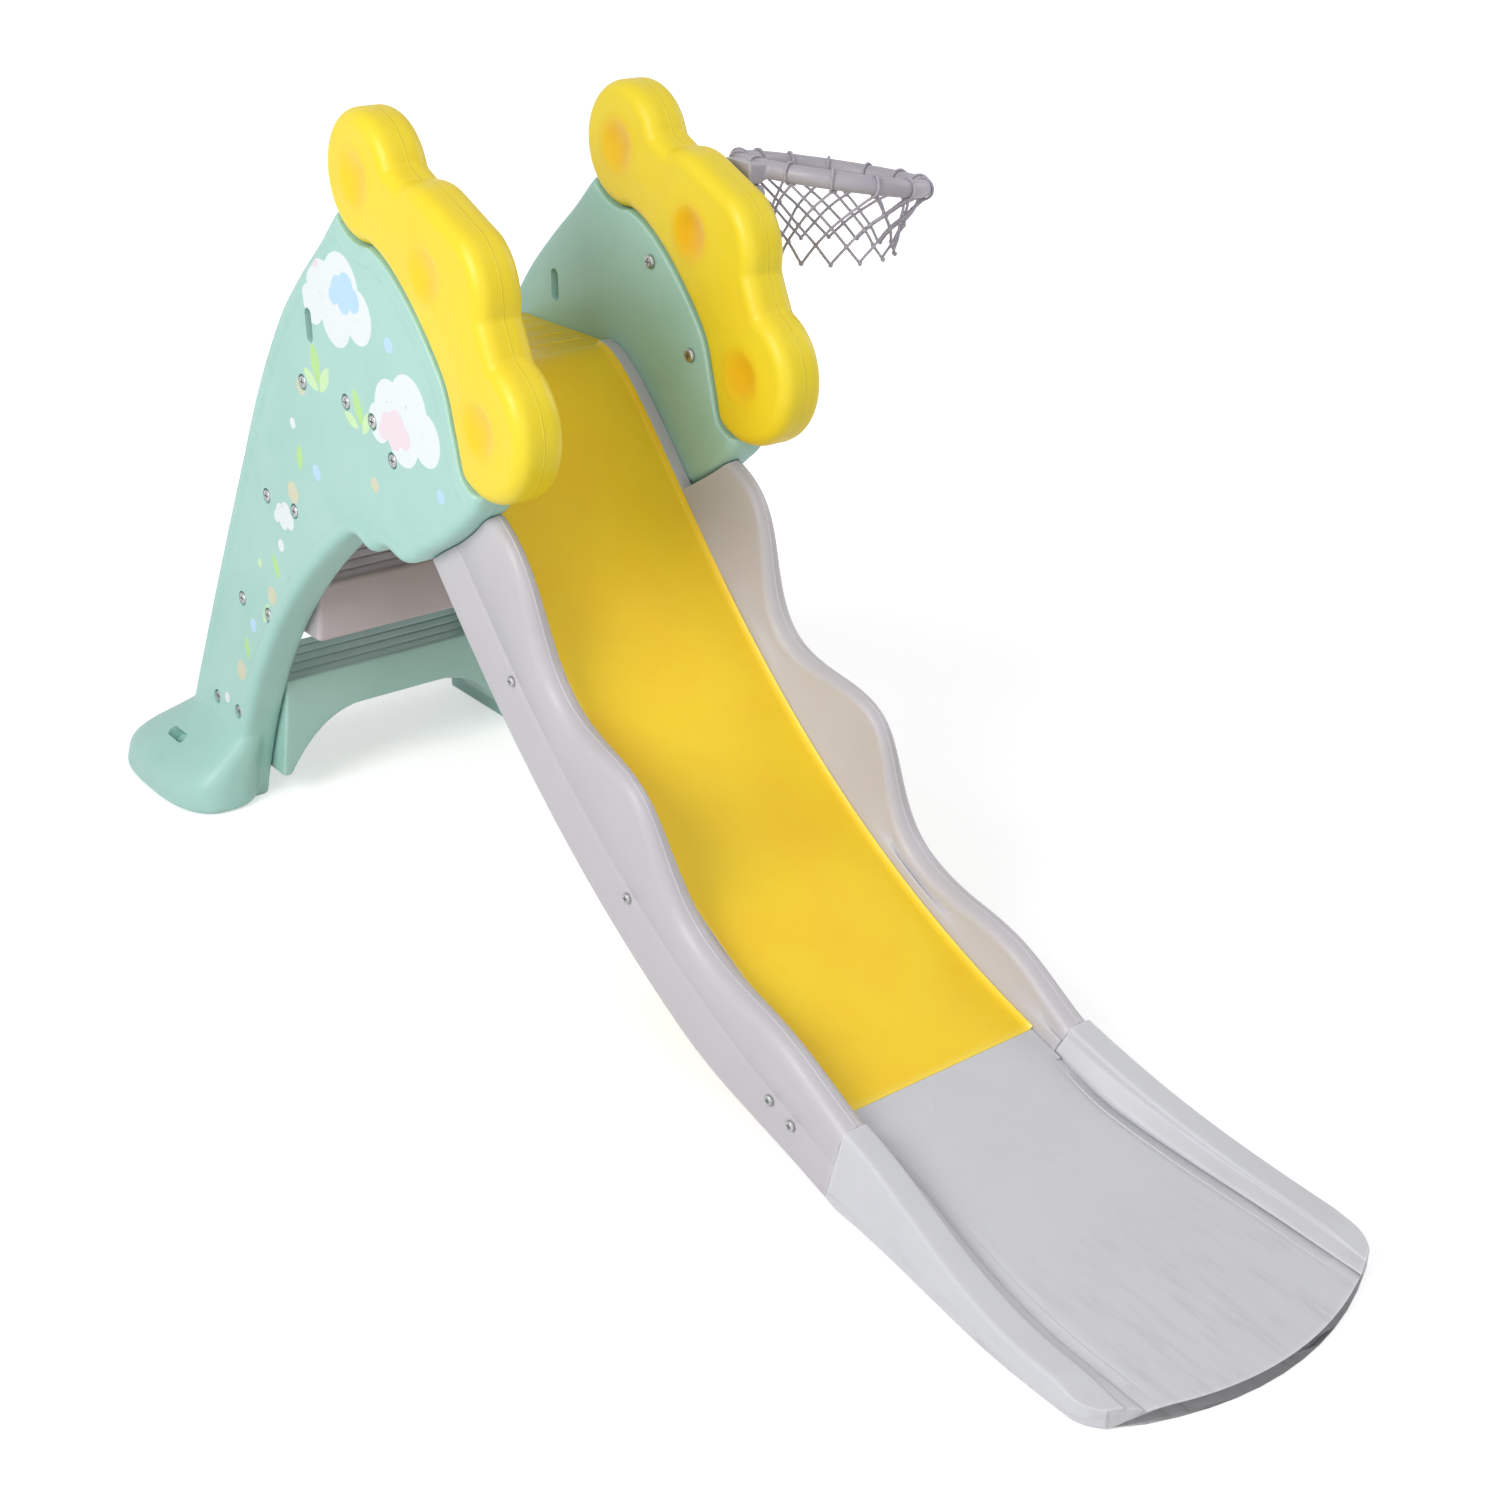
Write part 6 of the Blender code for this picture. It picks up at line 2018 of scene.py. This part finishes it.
@dataclass
class BallHoop:
    """Plug-in hoop with its arm, its knotted net and the socket on the guard."""

    y: float = 0.812
    reach: float = 0.136
    tilt: float = math.radians(10)
    radius: float = 0.108
    tube: float = 0.0105
    root_z: float = 0.864
    arm_half: float = 6.5 * MM
    arm_width: float = 0.052
    tongue_half: float = 0.017
    tongue_thick: float = 0.007
    tongue_length: float = 0.052
    voxel: float = 1.6 * MM
    socket_top: float = 0.845
    socket_depth: float = 0.024
    socket_height: float = 0.058
    socket_half: float = 0.034
    socket_corner: float = 0.010
    play: float = 0.5 * MM
    net_depth: float = 0.076
    net_end: float = 0.076
    net_columns: int = 14
    net_rows: int = 4
    cord: float = 0.0036
    strand: float = 0.27  # share of the cord
    strand_lay: float = 0.25  # share of the cord
    strand_pitch: float = 0.0095
    knot_major: float = 1.9 * MM
    knot_minor: float = 1.15 * MM
    knot_turns: tuple[Triple, ...] = ((0.5, 0.0, 0.0), (-0.6, math.pi / 2.4, 0.0))

    @property
    def tongue_x(self) -> float:
        """Middle of the tongue."""
        return UP.guard_outer + GAP + self.socket_depth / 2

    def at(self, radius: float, angle: float, height: float, lean: float = 1.0) -> Vector:
        """Point at a radius and angle round the hoop and a height over its sloping plane.

        Args:
            radius: Distance from the hoop's middle.
            angle: Angle from the outer side.
            height: Height over the plane.
            lean: Share of the hoop's tilt that the plane has here.

        Returns:
            The point.
        """
        tilt = self.tilt * lean
        out = radius * math.cos(angle)
        return Vector((self.tongue_x + self.reach * math.cos(self.tilt) + out * math.cos(tilt),
                       self.y + radius * math.sin(angle),
                       self.root_z - self.reach * math.sin(self.tilt) - out * math.sin(tilt) + height))

    def ring(self) -> Piece:
        """Round hoop with a gusseted arm and a tongue.

        Returns:
            The hoop.
        """
        Bench.clear()
        bpy.ops.mesh.primitive_torus_add(
            major_radius=self.radius, minor_radius=self.tube, major_segments=120, minor_segments=24,
            location=self.at(0.0, 0.0, 0.0), rotation=(0.0, self.tilt, 0.0))
        piece = Bench.named("hoop_ring_body")
        Bench.settle()
        low = self.socket_top + GAP
        inner, wide, thick = self.tongue_x - self.tongue_thick / 2, self.tongue_half, self.arm_half
        meet = self.at(-self.radius, 0.0, 0.0)
        outline = [(inner, low), (self.tongue_x + self.socket_depth / 2, low), (meet.x, meet.z - thick),
                   (meet.x, meet.z + thick), (inner, self.root_z + thick)]
        Bench.combine(piece, Bench.plate("arm", outline, self.y, self.arm_width, Across.Y), Combine.JOIN)
        tongue = Bench.block("tongue", (inner, self.y - wide, self.socket_top - self.tongue_length),
                             (self.tongue_x + self.tongue_thick / 2, self.y + wide, low + thick))
        Bench.combine(piece, tongue, Combine.JOIN)
        Bench.remesh(piece, self.voxel, 8)
        return Bench.hand_over(piece, LILAC_HOOP.build(), Body.HOOP, Slot.LILAC, ["hoop_ring"], SOFT_FORM)

    def socket(self) -> Piece:
        """Socket on the guard, with an upright slot for the tongue.

        Returns:
            The socket.
        """
        top, low = self.socket_top, self.socket_top - self.socket_height
        half, corner = self.socket_half, self.socket_corner
        outline = rounded([(self.y + side * half, level, corner)
                           for side, level in ((1, low), (1, top), (-1, top), (-1, low))], 8)
        piece = Bench.plate("hoop_socket_body", outline, self.tongue_x, self.socket_depth)
        Bench.round_edges(piece, 2 * MM, 4, 50.0)
        thick, wide = self.tongue_thick / 2 + self.play, self.tongue_half + self.play
        slot = Bench.block("slot", (self.tongue_x - thick, self.y - wide, low - 0.01),
                           (self.tongue_x + thick, self.y + wide, top + 0.01))
        Bench.combine(piece, slot, Combine.CUT)
        return Bench.hand_over(piece, LILAC_HOOP.build(), Body.SLIDE, Slot.LILAC, ["hoop_socket"], CUT_FORM)

    def cord_point(self, column: float, way: int, level: float) -> Vector:
        """Point of a net cord's middle.

        Args:
            column: Column where the cord starts.
            way: 1 or -1, the way it winds.
            level: Rows down from the hoop.

        Returns:
            The point.
        """
        share = level / self.net_rows
        top = self.tube * math.cos(math.pi / 8) + GAP + self.cord / 2
        radius = self.radius + (self.net_end - self.radius) * math.sin(share * math.pi / 2)
        radius += way * 1.1 * MM * math.cos(math.pi * level)
        angle = 2 * math.pi * (column + way * 0.5 * level) / self.net_columns
        return self.at(radius, angle, -top - self.net_depth * share, 1 - share)

    def loop(self, column: int) -> list[Vector]:
        """Loop of cord round the hoop.

        Args:
            column: Its column.

        Returns:
            Points of its middle.
        """
        angle = 2 * math.pi * column / self.net_columns
        around = self.tube + self.cord * 0.42
        points = []
        for step in range(33):
            turn = math.radians(-95 + 370 * step / 32)
            drift = (step / 32 - 0.5) * 0.06
            out, up = around * math.cos(turn), around * math.sin(turn)
            points.append(self.at(self.radius + out, angle + drift, up))
        return points

    def twist(self, line: Sequence[Vector]) -> list[list[Vector]]:
        """Twist a cord of three strands along a line.

        Args:
            line: Points of its middle.

        Returns:
            Points of each strand.
        """
        side, lay = Vector((0.0, 0.0, 1.0)), self.cord * self.strand_lay
        strands: list[list[Vector]] = [[], [], []]
        travelled = 0.0
        for index, point in enumerate(line):
            before, after = line[max(0, index - 1)], line[min(len(line) - 1, index + 1)]
            way = (after - before).normalized()
            side = (side - way * side.dot(way)).normalized()
            other = way.cross(side)
            if index:
                travelled += (point - line[index - 1]).length
            for number, strand in enumerate(strands):
                turn = 2 * math.pi * (travelled / self.strand_pitch + number / 3)
                strand.append(point + (side * math.cos(turn) + other * math.sin(turn)) * lay)
        return strands

    def net(self) -> None:
        """Net of twisted cords, knotted where they cross, that hangs from loops round the hoop."""
        lines = [[self.cord_point(column, way, self.net_rows * step / 64) for step in range(65)]
                 for column in range(self.net_columns) for way in (1, -1)]
        lines += [self.loop(column) for column in range(self.net_columns)]
        strands = [strand for line in lines for strand in self.twist(line)]
        piece = Bench.from_lines("net_cords", strands, False, dimensions="3D",
                                 bevel_depth=self.cord * self.strand, bevel_resolution=1, use_fill_caps=True)
        Bench.tidy(piece)
        twine = Cord().build()
        Bench.hand_over(piece, twine, Body.HOOP, Slot.NET, ["hoop_net"], ROUND_FORM)
        Bench.hand_over(self.knots(), twine, Body.HOOP, Slot.NET, [], ROUND_FORM)

    def knots(self) -> Piece:
        """Wrapped knots where the cords cross.

        Returns:
            All the knots as one piece.
        """
        wraps = []
        for turn in self.knot_turns:
            Bench.clear()
            bpy.ops.mesh.primitive_torus_add(major_radius=self.knot_major, minor_radius=self.knot_minor,
                                             major_segments=14, minor_segments=8, rotation=turn)
            wraps.append(Bench.named("wrap"))
            Bench.settle()
        pattern = Bench.gather(wraps, "knot")
        knots = []
        for row in range(self.net_rows + 1):
            for column in range(self.net_columns):
                number = column + 0.5 * (row % 2)
                place = self.cord_point(number - 0.5 * row, 1, row)
                knot = Bench.copy(pattern, "knot")
                knot.data.transform(Matrix.Translation(place)
                                    @ Matrix.Rotation(2 * math.pi * number / self.net_columns, 4, "Z"))
                knots.append(knot)
        bpy.data.objects.remove(pattern, do_unlink=True)
        return Bench.gather(knots, "net_knots")

    def build(self) -> None:
        """Model the hoop, the net and the socket."""
        self.socket()
        self.ring()
        self.net()


@dataclass
class Screws:
    """Pan-head screws with a cross recess, at every place where the frame has one."""

    head: float = 0.0085
    height: float = 0.005
    taper: float = 0.86
    edge: float = 1.6 * MM
    cross_half: float = 0.0046
    cross_thick: float = 0.0008
    cross_depth: float = 0.0024
    shank: float = 0.003
    socket_shank: float = 0.002

    def pattern(self) -> Piece:
        """One screw along Z, with its seat at 0 and a shank one metre long.

        Returns:
            The screw.
        """
        Bench.clear()
        bpy.ops.mesh.primitive_cylinder_add(vertices=40, radius=self.head, depth=self.height,
                                            location=(0.0, 0.0, self.height / 2 + GAP))
        head = Bench.named("head")
        Bench.settle()
        places = Bench.read(head)
        places[places[:, 2] > self.height / 2, :2] *= self.taper
        Bench.move(head, places)
        Bench.round_edges(head, self.edge, 5, 40.0)
        for turn in (0.0, math.pi / 2):
            bar = Bench.block("bar", (-self.cross_half, -self.cross_thick, self.height - self.cross_depth),
                              (self.cross_half, self.cross_thick, self.height + 0.01))
            bar.data.transform(Matrix.Rotation(turn, 4, "Z"))
            Bench.combine(head, bar, Combine.CUT)
        Bench.clear()
        bpy.ops.mesh.primitive_cylinder_add(vertices=16, radius=self.shank, depth=1.0,
                                            location=(0.0, 0.0, -0.5))
        shank = Bench.named("shank")
        Bench.settle()
        return Bench.gather([head, shank], "screw_pattern")

    def build(self) -> None:
        """Copy the screw to each CAD screw's place."""
        pattern = self.pattern()
        steel = Steel().build()
        for node in sorted(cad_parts):
            if "_screw_" not in node:
                continue
            low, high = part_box(node)
            middle = (low + high) / 2
            outwards = math.copysign(1.0, middle.x) * (-1.0 if node.startswith("guard") else 1.0)
            scale = (high.y - low.y) / 2 / self.head
            shank = self.socket_shank if node.startswith("socket") else self.shank
            height = self.height * scale
            top = high.x if outwards > 0 else low.x
            screw = Bench.copy(pattern, node + "_body")
            places = Bench.read(screw)
            below = places[:, 2] <= 0.0
            places[~below] *= scale
            places[below, :2] *= shank / self.shank
            places[below, 2] *= (high.x - low.x) - height - GAP
            seat = top - outwards * (height + GAP)
            turned = np.column_stack((seat + outwards * places[:, 2], middle.y + places[:, 0],
                                      middle.z + outwards * places[:, 1]))
            Bench.move(screw, turned)
            Bench.hand_over(screw, steel, Body.SLIDE, Slot.STEEL, [node], CUT_FORM)
        bpy.data.objects.remove(pattern, do_unlink=True)


# Studio

@dataclass(frozen=True)
class Lamp:
    """Square soft lamp."""

    name: str
    place: Triple
    size: float
    power: float

    def hang(self, target: Triple) -> None:
        """Hang the lamp so that it faces a target.

        Args:
            target: What it faces.
        """
        light = bpy.data.lights.new(self.name, "AREA")
        light.size = self.size
        light.energy = self.power
        made = bpy.data.objects.new(self.name, light)
        made.location = self.place
        made.rotation_euler = (Vector(target) - Vector(self.place)).to_track_quat("-Z", "Y").to_euler()
        bpy.context.scene.collection.objects.link(made)


@dataclass
class Studio:
    """Pale floor, soft lamps, white surroundings and the camera."""

    camera_place: Triple = (-1.24174, -1.10293, 1.27972)
    camera_pitch: float = math.radians(64.592)
    camera_turn: float = math.radians(-37.606)
    floor_half: float = 45.0
    floor_place: Triple = (0.0, 0.6, -0.0005)
    world_strength: float = 0.30
    floor_lift: float = 0.47
    white_from: float = 0.9
    white_to: float = 2.4
    lamps: tuple[Lamp, ...] = (
        Lamp("key", (-3.0, 0.1, 2.3), 1.8, 88.0), Lamp("top", (0.2, -0.6, 3.3), 2.4, 14.0),
        Lamp("front", (-1.3, -2.6, 1.5), 1.6, 19.0), Lamp("right", (3.0, 0.2, 1.9), 1.8, 28.0))
    lamp_target: Triple = (0.0, 0.7, 0.4)

    def camera(self) -> None:
        """Put the camera where the photograph was taken from."""
        lens = bpy.data.cameras.new("camera")
        lens.sensor_width = SENSOR_MM
        lens.lens = PHOTO_FOCAL_PX / PHOTO_PX * SENSOR_MM
        lens.clip_end = 200.0
        made = bpy.data.objects.new("camera", lens)
        made.location = self.camera_place
        made.rotation_euler = (self.camera_pitch, 0.0, self.camera_turn)
        bpy.context.scene.collection.objects.link(made)
        bpy.context.scene.camera = made

    def seen(self, desk: Desk) -> Socket:
        """1 for what the camera, gloss and glass see directly."""
        camera, gloss, glass = (desk.node("ShaderNodeLightPath").outputs["Is " + ray + " Ray"]
                                for ray in ("Camera", "Glossy", "Transmission"))
        return desk.math("MAXIMUM", desk.math("MAXIMUM", camera, gloss), glass)

    def world(self) -> None:
        """Even light all round, and white where the camera looks past the slide."""
        world = bpy.data.worlds.new("studio")
        bpy.context.scene.world = world
        world.use_nodes = True
        desk = Desk(world.node_tree)
        sky = world.node_tree.nodes["Background"]
        desk.feed(sky, "Color", (1.0, 1.0, 1.0, 1.0))
        level = desk.node("ShaderNodeMix", self.seen(desk), data_type="FLOAT")
        desk.feed(level, 2, self.world_strength)
        desk.feed(level, 3, 1.0)
        desk.feed(sky, "Strength", level.outputs[0])

    def floor(self) -> None:
        """White floor that keeps the slide's shadow."""
        Bench.clear()
        bpy.ops.mesh.primitive_plane_add(size=2 * self.floor_half, location=self.floor_place)
        floor = Bench.named("floor")
        made, desk, shader = new_finish("studio_floor")
        place = desk.place()
        mottle = desk.noise(place, 3.0)
        desk.feed(shader, "Base Color", desk.mix(mottle, (0.80, 0.80, 0.80, 1.0), (0.82, 0.82, 0.82, 1.0)))
        desk.feed(shader, "Roughness", 0.9)
        desk.feed(shader, "Emission Color", (1.0, 1.0, 1.0, 1.0))
        away = desk.vector("LENGTH", place, (0.0, 0.0, 0.0), "Value")
        lift = desk.band(away, self.white_from, self.white_to, self.floor_lift, 1.0)
        desk.feed(shader, "Emission Strength", desk.times(self.seen(desk), lift))
        floor.data.materials.append(made)

    def build(self) -> None:
        """Set the stage."""
        self.camera()
        self.world()
        self.floor()
        for lamp in self.lamps:
            lamp.hang(self.lamp_target)
        bpy.context.scene.view_settings.view_transform = "Standard"


def main() -> None:
    """Build every sub-assembly and the studio."""
    for side in Side:
        HandGuard(side).build()
        SidePanel(side).build()
    chute = Chute()
    chute.bed()
    for side in Side:
        chute.rail(side)
    RunOut(chute).build()
    Ladder().build()
    BallHoop().build()
    Screws().build()
    Studio().build()


if __name__ == "__main__":
    main()
